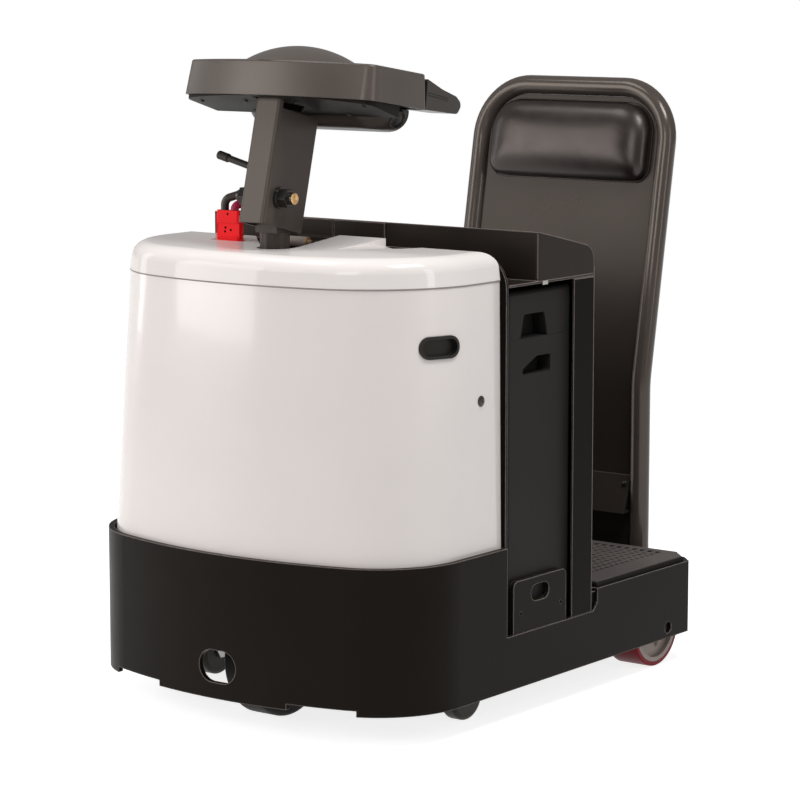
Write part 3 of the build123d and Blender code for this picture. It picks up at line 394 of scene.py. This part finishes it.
finish("tread_red", (0.25, 0.0065, 0.017), 0.40, 900, 0.00004, 0.12, 0.002, (0.28, 0.05, 0.07), 0.3, 0.1,
       specular=0.14)
finish("tyre_black", (0.012, 0.012, 0.012), 0.60, 700, 0.0001, 0.14, 0.003, (0.05, 0.05, 0.05), 0.3, 0.2,
       specular=0.2)
finish("hub_grey", (0.40, 0.33, 0.30), 0.40, 600, 0.00006, 0.12, 0.0015, (0.42, 0.38, 0.36), 0.3, 0.1,
       specular=0.3)
print("finishes", sorted(finishes))

# %% [markdown]
# The pad's cover is dark leatherette. A cell pattern gives its pebbles and a slower noise its creases. It is glossier
# than cloth, so its crown mirrors the soft boxes and its underside stays dark.

# %% Leather
leather = bpy.data.materials.new("pad_leather")
leather.use_nodes = True
hide = leather.node_tree
hide_shader = hide.nodes["Principled BSDF"]
hide_place = add(hide, "ShaderNodeTexCoord")
pebbles = add(hide, "ShaderNodeTexVoronoi", _Scale=620)
pebbles.feature = "DISTANCE_TO_EDGE"
creases = add(hide, "ShaderNodeTexNoise", _Scale=24, _Detail=2)
for texture in (pebbles, creases):
    hide.links.new(hide_place.outputs["Object"], texture.inputs["Vector"])
crease_bump = add(hide, "ShaderNodeBump", _Distance=0.0012, _Strength=0.06)
pebble_bump = add(hide, "ShaderNodeBump", _Distance=0.0002, _Strength=0.2)
hide.links.new(creases.outputs[0], crease_bump.inputs["Height"])
hide.links.new(pebbles.outputs["Distance"], pebble_bump.inputs["Height"])
hide.links.new(crease_bump.outputs[0], pebble_bump.inputs["Normal"])
hide.links.new(pebble_bump.outputs[0], hide_shader.inputs["Normal"])
dark_hide, light_hide = (0.0085, 0.0062, 0.0056, 1), (0.0135, 0.0102, 0.0092, 1)
hide.links.new(mixed(hide, ranged(hide, creases.outputs[0], 0, 1), dark_hide, light_hide),
               hide_shader.inputs["Base Color"])
hide.links.new(ranged(hide, creases.outputs[0], 0.29, 0.35), hide_shader.inputs["Roughness"])
hide_shader.inputs["Specular IOR Level"].default_value = 0.55
hide_shader.inputs["Specular Tint"].default_value = (1.0, 0.88, 0.83, 1)
finishes["pad_leather"] = leather
print("leather pebbles per metre", pebbles.inputs["Scale"].default_value)

# %% [markdown]
# The record says which finish each CAD piece wears. A few pieces look a little different in the picture from the
# others of their kind, so a short list names those: the glossy bent tube, and copies of the paints with light and shade
# painted in: a lighter console (painted light), darker bulkheads and tray, and a darker steering tube, pod and head
# underside (painted shade).

# %% Dress the CAD pieces
slot_of = {row["node"]: row["material_slot"] for row in frame["record"]["subparts"]}
special = {"console": "console_brown", "hood_lid": "lid_white", "backrest_panel": "panel_brown",
           "backrest_frame": "tube_gloss", "steering_tube": "tube_dark", "head_base": "belly_black",
           "hand_grips": "grip_black", "head_pod": "tube_dark", "backrest_brackets": "panel_brown",
           "rear_bulkhead": "flange_black", "front_bulkhead": "flange_black", "battery_tray": "flange_black"}
for name, piece in nodes.items():
    piece.data.materials.clear()
    piece.data.materials.append(finishes[special.get(name, slot_of[name])])
print("dressed", len(nodes), "pieces,", len(special), "of them from the list")

# %% [markdown]
# ## Pieces
# A few helpers for the rest: one makes an object from points and faces, one hangs it on the body that carries it, and
# one runs a Geometry Nodes tree and keeps its result as a plain mesh.

# %% Piece helpers


def new_object(name, points, faces=(), edges=()):
    mesh = bpy.data.meshes.new(name)
    mesh.from_pydata([tuple(p) for p in points], edges, faces)
    thing = bpy.data.objects.new(name, mesh)
    bpy.context.collection.objects.link(thing)
    return thing


def carried(piece, body, slot, *stands_for):
    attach(piece, body)
    if stands_for:
        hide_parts(*stands_for)
    print(piece.name, "rides on", body, "-", len(piece.data.polygons), "faces")
    return piece


def node_tree(name, inputs):
    tree = bpy.data.node_groups.new(name, "GeometryNodeTree")
    tree.interface.new_socket(name="Geometry", in_out="INPUT", socket_type="NodeSocketGeometry")
    for label, kind in inputs:
        tree.interface.new_socket(name=label, in_out="INPUT", socket_type=f"NodeSocket{kind}")
    tree.interface.new_socket(name="Geometry", in_out="OUTPUT", socket_type="NodeSocketGeometry")
    return tree, tree.nodes.new("NodeGroupInput"), tree.nodes.new("NodeGroupOutput")


def grown(name, carrier, tree, **values):
    modifier = carrier.modifiers.new("grow", "NODES")
    modifier.node_group = tree
    for item in tree.interface.items_tree:
        label = item.name.replace(" ", "_")
        if item.in_out == "INPUT" and label in values:
            modifier[item.identifier] = values[label]
    ready = carrier.evaluated_get(bpy.context.evaluated_depsgraph_get())
    mesh = bpy.data.meshes.new_from_object(ready)
    mesh.name = name
    bpy.data.objects.remove(carrier)
    piece = bpy.data.objects.new(name, mesh)
    bpy.context.collection.objects.link(piece)
    return piece


print("piece helpers ready")

# %% [markdown]
# ### Fasteners
# A truck is held together by dozens of screws. Modelling each by hand is slow, so one tree makes them all: every point
# of a carrier mesh becomes a screw whose axis follows the point's own arrow. The head is a low cone on a washer, with
# a dark hexagon for its socket, painted shade in place of a recess. A different head size is only a different number.

# %% Screw tree
screw_tree, screw_in, screw_end = node_tree(
    "screws", [("Head Radius", "Float"), ("Head Height", "Float"), ("Metal", "Material"), ("Socket", "Material")])


def geo(tree, kind, **fixed):
    node = tree.nodes.new(kind)
    for label, value in fixed.items():
        node.inputs[label.replace("_", " ")].default_value = value
    return node


def times(tree, socket, factor):
    node = add(tree, "ShaderNodeMath", "MULTIPLY", _1=factor)
    tree.links.new(socket, node.inputs[0])
    return node.outputs[0]


def lifted(tree, geometry, socket):
    move = tree.nodes.new("GeometryNodeTransform")
    vector = tree.nodes.new("ShaderNodeCombineXYZ")
    tree.links.new(socket, vector.inputs["Z"])
    tree.links.new(vector.outputs[0], move.inputs["Translation"])
    tree.links.new(geometry, move.inputs["Geometry"])
    return move.outputs[0]


def painted(tree, geometry, material):
    coat = tree.nodes.new("GeometryNodeSetMaterial")
    tree.links.new(geometry, coat.inputs["Geometry"])
    tree.links.new(material, coat.inputs["Material"])
    return coat.outputs[0]


radius, tall = screw_in.outputs["Head Radius"], screw_in.outputs["Head Height"]
washer = geo(screw_tree, "GeometryNodeMeshCylinder", Vertices=20)
head = geo(screw_tree, "GeometryNodeMeshCone", Vertices=20)
socket = geo(screw_tree, "GeometryNodeMeshCylinder", Vertices=6)
screw_tree.links.new(times(screw_tree, radius, 1.35), washer.inputs["Radius"])
screw_tree.links.new(times(screw_tree, tall, 0.5), washer.inputs["Depth"])
screw_tree.links.new(times(screw_tree, radius, 0.82), head.inputs["Radius Top"])
screw_tree.links.new(radius, head.inputs["Radius Bottom"])
screw_tree.links.new(tall, head.inputs["Depth"])
screw_tree.links.new(times(screw_tree, radius, 0.45), socket.inputs["Radius"])
screw_tree.links.new(times(screw_tree, tall, 0.2), socket.inputs["Depth"])
whole = screw_tree.nodes.new("GeometryNodeJoinGeometry")
# The socket is a dark hexagon: painted shade in place of a recess.
metal_socket, socket_shade = screw_in.outputs["Metal"], screw_in.outputs["Socket"]
screw_tree.links.new(painted(screw_tree, washer.outputs[0], metal_socket), whole.inputs[0])
screw_tree.links.new(painted(screw_tree, lifted(screw_tree, head.outputs[0], times(screw_tree, tall, 0.2)),
                             metal_socket), whole.inputs[0])
screw_tree.links.new(painted(screw_tree, lifted(screw_tree, socket.outputs[0], times(screw_tree, tall, 1.15)),
                             socket_shade), whole.inputs[0])
arrow = screw_tree.nodes.new("GeometryNodeInputNamedAttribute")
arrow.data_type = "FLOAT_VECTOR"
arrow.inputs["Name"].default_value = "arrow"
turn = screw_tree.nodes.new("FunctionNodeAlignRotationToVector")
turn.axis = "Z"
spread = screw_tree.nodes.new("GeometryNodeInstanceOnPoints")
solid = screw_tree.nodes.new("GeometryNodeRealizeInstances")
screw_tree.links.new(arrow.outputs[0], turn.inputs["Vector"])
screw_tree.links.new(screw_in.outputs["Geometry"], spread.inputs["Points"])
screw_tree.links.new(whole.outputs[0], spread.inputs["Instance"])
screw_tree.links.new(turn.outputs[0], spread.inputs["Rotation"])
screw_tree.links.new(spread.outputs[0], solid.inputs[0])
screw_tree.links.new(solid.outputs[0], screw_end.inputs[0])


def screws(name, body, slot, spots, head_radius, head_height, metal, dark="black_rubber"):
    carrier = new_object(name + "_spots", [at(*place) for place, way in spots])
    arrows = carrier.data.attributes.new("arrow", "FLOAT_VECTOR", "POINT")
    for index, (place, way) in enumerate(spots):
        arrows.data[index].vector = way
    piece = grown(name, carrier, screw_tree, Head_Radius=head_radius, Head_Height=head_height,
                  Metal=finishes[metal], Socket=finishes[dark])
    carried(piece, body, slot)


print("screw tree has", len(screw_tree.nodes), "nodes")

# %% [markdown]
# The sloping rail under the backrest has a bolt near each end, the hitch plate hangs on four large bolts and the
# head's underside on a row of dark screws. The wheels' hubs have five, painted over with the hub.

# %% Screws
sides = (-1, 1)
head_lean = math.radians(8)
head_origin, head_up = Vector((0, -20, 1254)), Vector((0, math.sin(head_lean), math.cos(head_lean)))
head_back = Vector((0, math.cos(head_lean), -math.sin(head_lean)))
belly_slope = 24.0 / 148.0
belly_way = (head_up * -1 - head_back * belly_slope).normalized()


def under_head(x, back):
    return tuple(head_origin + Vector((x, 0, 0)) + head_back * back - head_up * belly_slope * (back + 22))


rail_way, rail_slope, rail_foot_y, rail_foot_z = (0, -0.927, 0.375), 0.405, 951.5, 340
bolt_x, bolt_z = 216, 362
bolt_y = rail_foot_y + (bolt_z - rail_foot_z) * rail_slope
screws("rail_bolts", "truck", "bolt_black", [((side * bolt_x, bolt_y, bolt_z), rail_way) for side in sides],
       0.0055, 0.005, "bolt_black")
screws("hitch_bolts", "truck", "steel", [((side * 70, 939, z), (0, 1, 0)) for side in sides for z in (104, 190)],
       0.011, 0.009, "steel")
screws("head_screws", "steering", "bolt_black", [(under_head(x, back), belly_way) for x, back in
                                                 ((-206, 44), (-80, 30), (52, 30), (208, 44), (-120, 112),
                                                  (120, 112))], 0.0045, 0.0025, "black_rubber")
axle_y, axle_z, bolt_circle, bolt_count = 814, 89, 47, 5
turns = [2 * math.pi * k / bolt_count for k in range(bolt_count)]
ring = [(axle_y + bolt_circle * math.cos(turn), axle_z + bolt_circle * math.sin(turn)) for turn in turns]
for side, label in zip(sides, ("right", "left")):
    screws(f"hub_bolts_{label}", f"rear_wheel_{label}", "steel",
           [((side * 387, y, z), (side, 0, 0)) for y, z in ring], 0.0055, 0.004, "hub_grey", "hub_grey")

# %% [markdown]
# ### Turned pieces
# Locks, caps and sleeves are made on a lathe, and a mesh can be made the same way: a list of (distance, radius) steps
# is spun round an axis. The same list may be set in several places.

# %% Lathe helper
sharp_from = math.radians(35)


def joined(name, build):
    bmesh.ops.recalc_face_normals(build, faces=build.faces)
    mesh = bpy.data.meshes.new(name)
    build.to_mesh(mesh)
    build.free()
    mesh.shade_smooth()
    mesh.set_sharp_from_angle(angle=sharp_from)
    thing = bpy.data.objects.new(name, mesh)
    bpy.context.collection.objects.link(thing)
    return thing


def turned(name, spots, steps, around=28):
    build = bmesh.new()
    for place, way in spots:
        turn_to, foot = Vector(way).to_track_quat("Z", "Y"), at(*place)
        rings = []
        for along, radius in steps:
            count = around if radius > 0 else 1
            rings.append([build.verts.new(foot + turn_to @ Vector((
                radius * math.cos(2 * math.pi * k / count), radius * math.sin(2 * math.pi * k / count),
                along)) / 1000) for k in range(count)])
        for low, high in zip(rings, rings[1:]):
            for k in range(around):
                loop = [low[k % len(low)], low[(k + 1) % len(low)], high[(k + 1) % len(high)], high[k % len(high)]]
                build.faces.new(list(dict.fromkeys(loop)))
    return joined(name, build)


def dressed(piece, finish_name):
    piece.data.materials.append(finishes[finish_name])
    return piece


print("lathe ready")

# %% [markdown]
# A round lock holds the hood on each flank. The pivot bolt and the stop's screw end in bare brass-coloured faces, the
# only warm metal on the truck. The retainers' screw holes are filled with dark discs, painted shade for the holes' dark
# insides, and the head's pod has a round rubber push on each end.

# %% Lock, brass ends and pushes
lock_steps = [(-4, 0), (-4, 11), (1.2, 11), (2.2, 10), (2.2, 8.2), (3.6, 7.6), (4.2, 6), (4.2, 2.2), (2.6, 2), (2.6, 0)]
carried(dressed(turned("hood_locks", [((side * 406.2, 139, 662), (side, 0, -0.02)) for side in sides], lock_steps),
                "bolt_black"), "truck", "bolt_black")
tip_steps = [(-2, 0), (-2, 11.6), (0.2, 11.6), (0.6, 10.9), (0.6, 5.4), (0.1, 4.6), (0.1, 0)]
carried(dressed(turned("pivot_ends", [((side * 71.4, -24, 1054), (side, 0, 0)) for side in sides], tip_steps), "brass"),
        "steering", "steel")
cap_steps = [(-1, 0), (-1, 10.6), (1.4, 10.6), (2.2, 9.6), (2.2, 5.2), (6, 4.8), (9.4, 4.6), (9.9, 3.6), (9.9, 0)]
carried(dressed(turned("stop_screw", [((-73, 194.3, 944), (1, 0, 0))], cap_steps), "brass"), "truck", "steel")
dark_steps = [(-1.5, 0), (-1.5, 3.6), (0.2, 3.6), (0.2, 0)]
carried(dressed(turned("retainer_plugs", [((side * 424.5, y, 217), (side, 0, 0)) for side in sides for y in (256, 398)],
                       dark_steps, 16), "pin_dark"), "truck", "black_rubber")
push_steps = [(-6, 0), (-6, 21), (2, 21), (3.4, 19.5), (3.4, 17), (0.5, 15.5), (2.6, 8), (3.2, 0)]
carried(dressed(turned("pod_pushes", [((side * 178, 168, 1205), (side * 0.88, -0.12, -0.45)) for side in sides],
                       push_steps), "black_rubber"), "steering", "black_rubber")
print("turned pieces done")

# %% [markdown]
# ### Lines that follow a path
# A rubber seal lies in the seam between hood and lid, and thin seams run along the grips and the console. One tree
# does them all: the edges of a carrier mesh become a curve, and a small round profile is swept along it.

# %% Bead tree
bead_tree, bead_in, bead_end = node_tree("beads", [("Radius", "Float"), ("Finish", "Material")])
to_curve = bead_tree.nodes.new("GeometryNodeMeshToCurve")
profile = geo(bead_tree, "GeometryNodeCurvePrimitiveCircle", Resolution=8)
sweep = geo(bead_tree, "GeometryNodeCurveToMesh", Fill_Caps=True)
whole_bead = bead_tree.nodes.new("GeometryNodeRealizeInstances")
bead_tree.links.new(bead_in.outputs["Geometry"], to_curve.inputs[0])
bead_tree.links.new(bead_in.outputs["Radius"], profile.inputs["Radius"])
bead_tree.links.new(to_curve.outputs[0], sweep.inputs["Curve"])
bead_tree.links.new(profile.outputs[0], sweep.inputs["Profile Curve"])
bead_tree.links.new(sweep.outputs[0], whole_bead.inputs[0])
bead_tree.links.new(painted(bead_tree, whole_bead.outputs[0], bead_in.outputs["Finish"]), bead_end.inputs[0])


def lines(name, paths):
    """A carrier mesh of edges only, one chain for each path."""
    points, edges = [], []
    for path in paths:
        edges += [(len(points) + k, len(points) + k + 1) for k in range(len(path) - 1)]
        points += [at(*p) for p in path]
    return new_object(name, points, edges=edges)


def beads(name, body, slot, paths, radius, finish_name):
    piece = grown(name, lines(name + "_path", paths), bead_tree, Radius=radius, Finish=finishes[finish_name])
    carried(piece, body, slot)


print("bead tree has", len(bead_tree.nodes), "nodes")

# %% [markdown]
# The hood's plan is a wide nose arc that runs into two corner arcs and two straight flanks, so the seal's path is
# worked out from the same four sizes as the hood itself.

# %% Seal between hood and lid


def hood_plan(front, half, nose, corner, back, z, steps=14):
    reach, nose_y = half - corner, nose - front
    corner_y = nose_y - math.sqrt((nose - corner) ** 2 - reach ** 2)
    swing = math.atan2(reach, nose_y - corner_y)
    path = [(-half, back, z)]
    for k in range(steps + 1):
        angle = math.pi / 2 + (swing - math.pi / 2) * k / steps
        path.append((-reach - corner * math.sin(angle), corner_y - corner * math.cos(angle), z))
    for k in range(1, 2 * steps):
        angle = -swing + swing * k / steps
        path.append((nose * math.sin(angle), nose_y - nose * math.cos(angle), z))
    for k in range(steps + 1):
        angle = swing + (math.pi / 2 - swing) * k / steps
        path.append((reach + corner * math.sin(angle), corner_y - corner * math.cos(angle), z))
    return path + [(half, back, z)]


beads("lid_seal", "truck", "black_rubber", [hood_plan(152.6, 404.6, 950.6, 250.6, 204, 893.6)], 0.0014, "seal_grey")

# %% [markdown]
# Each grip is moulded in two halves, so two thin seams run along its outside. The console's front sheet ends in a
# folded hem, a bead in the lighter column grey: a painted highlight that shows as a light line above the lid. Bare
# sheet edges are rolled over and shine a little, so a thin bead follows the console's top, its fold and the flange
# behind the battery. Its paint is far lighter than the frame's, a painted highlight along these edges.

# %% Seams and hem
grip_seams = [[(side * 228.1, 206, 1258 - drop), (side * 228.1, 240, 1251.5 - drop), (side * 228.1, 272, 1244.4 - drop)]
              for side in sides for drop in (0, 5)]
beads("grip_seams", "steering", "black_rubber", grip_seams, 0.0009, "black_rubber")
beads("console_hem", "truck", "column_grey", [[(-190, 308.6, 943), (42, 308.6, 943)]], 0.0013, "column_grey")

rolled = [[(-418, 309.6, 982.6), (415, 309.6, 982.6)], [(422.0, 311.0, 889), (422.0, 311.0, 980)]]
for side in sides:
    rolled.append([(side * 424.2, 511.8, 179), (side * 424.2, 511.8, 900)])
    rolled.append([(side * 423.6, 312, 884.6), (side * 423.6, 508, 884.6)])
    rolled.append([(side * 423.6, 318, 981.5), (side * 423.6, 486, 945.3)])
beads("rolled_edges", "truck", "frame_black", rolled, 0.0011, "rolled_edge")

# %% [markdown]
# ### The platform mat
# A driver stands on rubber with a waffle of raised ribs inside a smooth border. The ribs are straight round beads laid
# both ways, half sunk in the sheet, so the bead tree makes them too. The border is a flat ring of the same height.

# %% Mat ribs and border
mat_top, pitch, rib_sunk = 232, 20, 1.7
inner_x, inner_front, inner_back = 358, 564, 894
ribs = [[(-inner_x, y, mat_top - rib_sunk), (inner_x, y, mat_top - rib_sunk)]
        for y in range(inner_front + pitch // 2, inner_back, pitch)]
ribs += [[(x, inner_front, mat_top - rib_sunk), (x, inner_back, mat_top - rib_sunk)]
         for x in range(-340, 341, pitch)]
# The ribs and the border wear the lighter copy of the rubber, painted light on the raised parts.
beads("mat_ribs", "truck", "mat_rubber", ribs, 0.0042, "mat_raised")


def ring_plate(name, outer, inner, low, high):
    """A flat plate between two outlines with the same number of corners."""
    build = bmesh.new()
    loops = [[build.verts.new(at(x, y, z)) for x, y in line] for line in (outer, inner) for z in (low, high)]
    foot, top, inner_foot, inner_top = loops
    for a, b in ((foot, top), (top, inner_top), (inner_top, inner_foot), (inner_foot, foot)):
        for k in range(len(a)):
            build.faces.new([a[k], a[(k + 1) % len(a)], b[(k + 1) % len(b)], b[k]])
    return joined(name, build)


border_out = [(416, 544), (416, 881), (382, 915), (-382, 915), (-416, 881), (-416, 544)]
border_in = [(inner_x, inner_front), (inner_x, 889), (353, inner_back), (-353, inner_back), (-inner_x, 889),
             (-inner_x, inner_front)]
carried(dressed(ring_plate("mat_border", border_out, border_in, mat_top - 1, mat_top + 2.2), "mat_raised"),
        "truck", "mat_rubber")
print("ribs", len(ribs))

# %% [markdown]
# ### Sheet-metal trim
# Two cover plates close the console's front above the lid, a skin carries each flange of the rear bulkhead down to the
# sill with a gusset behind it, and a small bright clip shows at the console's near corner. All are plain blocks.

# %% Trim plates


def blocks(name, corners):
    build = bmesh.new()
    for low, high in corners:
        size, middle = at(*high) - at(*low), (at(*high) + at(*low)) / 2
        bmesh.ops.create_cube(build, size=1, matrix=Matrix.Translation(middle) @ Matrix.Diagonal((*size, 1)))
    return joined(name, build)


# The covers wear the lighter copy of the frame paint (painted light). The skins and gussets wear the darker copy
# (painted shade).
carried(dressed(blocks("console_covers", [((-188, 305.6, 946), (-94.5, 309.2, 982)),
                                          ((-91.5, 305.6, 946), (42, 309.2, 982))]),
                "console_brown"), "truck", "frame_black")
carried(dressed(blocks("flange_skins", [((420.2, 439.7, 177.3), (424.5, 512.3, 878)),
                                        ((-424.5, 439.7, 177.3), (-420.2, 512.3, 878))]),
                "flange_black"), "truck", "frame_black")
carried(dressed(blocks("sill_gussets", [((414, 512.4, 170), (420.2, 537, 216.5)),
                                        ((-420.2, 512.4, 170), (-414, 537, 216.5))]),
                "flange_black"), "truck", "frame_black")
carried(dressed(blocks("corner_clip", [((423.6, 324, 877), (426, 342, 885))]), "steel"), "truck", "steel")

# %% [markdown]
# ### Welds
# The frame, the hitch and the backrest's feet are welded. A weld is a row of small frozen ripples: points are set every
# few millimetres along a line and each gets a flattened ball, a little larger or smaller than its neighbour.

# %% Welds
weld_tree, weld_in, weld_end = node_tree("welds", [("Step", "Float"), ("Finish", "Material")])
weld_curve = weld_tree.nodes.new("GeometryNodeMeshToCurve")
every = weld_tree.nodes.new("GeometryNodeResampleCurve")
every.mode = "LENGTH"
ball = geo(weld_tree, "GeometryNodeMeshUVSphere", Segments=8, Rings=5)
on_line = weld_tree.nodes.new("GeometryNodeInstanceOnPoints")
sizes = weld_tree.nodes.new("FunctionNodeRandomValue")
sizes.inputs[2].default_value, sizes.inputs[3].default_value, sizes.inputs["Seed"].default_value = 0.85, 1.15, 7
whole_weld = weld_tree.nodes.new("GeometryNodeRealizeInstances")
weld_tree.links.new(weld_in.outputs["Geometry"], weld_curve.inputs[0])
weld_tree.links.new(weld_curve.outputs[0], every.inputs["Curve"])
weld_tree.links.new(weld_in.outputs["Step"], every.inputs["Length"])
weld_tree.links.new(every.outputs[0], on_line.inputs["Points"])
weld_tree.links.new(weld_in.outputs["Step"], ball.inputs["Radius"])
weld_tree.links.new(ball.outputs[0], on_line.inputs["Instance"])
weld_tree.links.new(sizes.outputs[1], on_line.inputs["Scale"])
weld_tree.links.new(on_line.outputs[0], whole_weld.inputs[0])
weld_tree.links.new(painted(weld_tree, whole_weld.outputs[0], weld_in.outputs["Finish"]), weld_end.inputs[0])
weld_lines = [[(-46, 939, z), (46, 939, z)] for z in (112, 128, 170, 186)]
for side in sides:
    weld_lines += [[(side * (250 + step), 925, 106), (side * (250 + step), 925, 204)] for step in (-30, 30)]
    weld_lines.append([(side * 220, 925, 206), (side * 280, 925, 206)])
carried(grown("frame_welds", lines("weld_lines", weld_lines), weld_tree, Step=0.0032,
              Finish=finishes["frame_black"]), "truck", "frame_black")

# %% [markdown]
# ### The charge connector's face
# The red housing has rows of fine ribs along its sides for the fingers, and round holes for its pins. The ribs reuse
# the bead tree, and the holes are short dark turned discs that stand a hair proud of the face: painted shade for the
# holes' dark insides.

# %% Connector ribs and holes
connector_x, connector_half, rib_foot, rib_pitch = -178.5, 29.2, 957, 4.6
finger_ribs = [[(connector_x + side * connector_half, y, rib_foot + rib_pitch * k) for y in (66, 80)]
               for side in sides for k in range(11)]
beads("connector_ribs", "truck", "connector_red", finger_ribs, 0.0017, "connector_red")
hole_steps = [(-1.5, 0), (-1.5, 2.6), (0.15, 2.6), (0.15, 0)]
pin_holes = [(place, (0, -1, 0)) for place in ((-177, 64, 1005.7), (-185.5, 67, 977.3), (-187, 67, 969.1),
                                               (-171.5, 67, 973), (-178.5, 64, 945))]
carried(dressed(turned("connector_holes", pin_holes, hole_steps, 14), "pin_dark"), "truck", "black_rubber")

# %% [markdown]
# ### The backrest pad
# Foam under leatherette swells between its sewn edges: flat where it lies on the panel, fullest a little above the
# middle. We stack outlines that shrink and rise a little towards the front, close them, remesh the skin evenly and let
# cloth under air pressure round it off. No point may move further than a set limit, and the back stays held. The skin
# is smoothed before and after it is divided, as a cover pulled tight.

# %% Pad skin
lean = math.radians(10.1)
lean_up, lean_out = Vector((0, math.sin(lean), math.cos(lean))), Vector((0, -math.cos(lean), math.sin(lean)))
bend_y, bend_z, pad_z, gap = 971, 593, 1119, 2.3
pad_foot = Vector((0, bend_y + (pad_z - bend_z) * math.tan(lean), pad_z)) + lean_out * gap - lean_up * 3
pad_half, pad_rise, top_corner, low_corner = 212.0, 88.0, 70.0, 32.0


def pad_ring(inset, depth, sink, steps=10):
    """One outline of the pad, smaller by inset, at a depth in front of the panel and lowered by sink."""
    ring = []
    half, rise = pad_half - inset, pad_rise - inset
    for x_way, z_way, corner, start in ((1, 1, top_corner, 0), (-1, 1, top_corner, 90), (-1, -1, low_corner, 180),
                                        (1, -1, low_corner, 270)):
        bend = min(max(corner - inset * 0.7, 8), rise - 2)
        for k in range(steps + 1):
            angle = math.radians(start + 90 * k / steps)
            x = x_way * (half - bend) + bend * math.cos(angle)
            z = z_way * (rise - bend) + bend * math.sin(angle)
            ring.append(at(*(pad_foot + Vector((x, 0, 0)) + lean_up * (z - sink) + lean_out * depth)))
    return ring


# Each row: inset, depth, sink.
layers = [(0, 0, 0), (-1, 8, 0), (1, 17, 0), (6, 26, 0), (15, 34, 0), (28, 40.5, -1), (46, 45, -2), (66, 47, -3)]
skin = bmesh.new()
rings = [[skin.verts.new(p) for p in pad_ring(*layer)] for layer in layers]
for low, high in zip(rings, rings[1:]):
    for k in range(len(low)):
        skin.faces.new([low[k], low[(k + 1) % len(low)], high[(k + 1) % len(high)], high[k]])
skin.faces.new(rings[0])
skin.faces.new(rings[-1])
pad_start = joined("pad_start", skin)
voxels = pad_start.modifiers.new("even", "REMESH")
voxels.mode, voxels.voxel_size = "VOXEL", 0.005
even = bpy.data.meshes.new_from_object(pad_start.evaluated_get(bpy.context.evaluated_depsgraph_get()))
bpy.data.objects.remove(pad_start)
pad = bpy.data.objects.new("backrest_cushion", even)
bpy.context.collection.objects.link(pad)
print("pad skin", len(even.vertices), "points")

# %% Blow up the pad
rest_shape = [v.co.copy() for v in even.vertices]
back_point = at(*pad_foot)
held = pad.vertex_groups.new(name="held")
held.add([i for i, co in enumerate(rest_shape) if (co - back_point).dot(lean_out) < 0.004], 1.0, "REPLACE")
cloth = pad.modifiers.new("foam", "CLOTH")
cloth.settings.vertex_group_mass = "held"
cloth.settings.use_pressure = True
cloth.settings.uniform_pressure_force = 1.2
cloth.settings.mass = 0.3
cloth.settings.tension_stiffness = cloth.settings.compression_stiffness = 40
cloth.settings.bending_stiffness = 12
cloth.settings.effector_weights.gravity = 0
scene, furthest, last_step = bpy.context.scene, 0.004, 20
for step in range(1, last_step + 1):
    scene.frame_set(step)
    blown = pad.evaluated_get(bpy.context.evaluated_depsgraph_get()).to_mesh()
moved = []
for start, vertex in zip(rest_shape, blown.vertices):
    step = vertex.co - start
    moved.append(start + step * min(1, furthest / max(step.length, 1e-9)))
pad.modifiers.clear()
scene.frame_set(1)
for vertex, co in zip(even.vertices, moved):
    vertex.co = co
print("most moved", round(max((a - b).length for a, b in zip(moved, rest_shape)), 4), "m")
calm = pad.modifiers.new("calm", "SMOOTH")
calm.factor, calm.iterations = 0.5, 30
finer = pad.modifiers.new("finer", "SUBSURF")
finer.levels = finer.render_levels = 1
ironed = pad.modifiers.new("ironed", "SMOOTH")
ironed.factor, ironed.iterations = 0.5, 24
smooth_pad = bpy.data.meshes.new_from_object(pad.evaluated_get(bpy.context.evaluated_depsgraph_get()))
bpy.data.objects.remove(pad)
pad = bpy.data.objects.new("backrest_cushion", smooth_pad)
bpy.context.collection.objects.link(pad)
smooth_pad.shade_smooth()
smooth_pad.materials.clear()
smooth_pad.materials.append(leather)
carried(pad, "truck", "pad_leather", "backrest_pad")

# %% [markdown]
# A welt closes the pad where its cover meets the backing board.

# %% Pad welt
welt = [tuple((p * 1000) + Vector((0, shaft_to_middle, 0))) for p in pad_ring(-1.5, 1.5, 0)]
beads("pad_welt", "truck", "pad_leather", [welt + welt[:1]], 0.0016, "pad_leather")
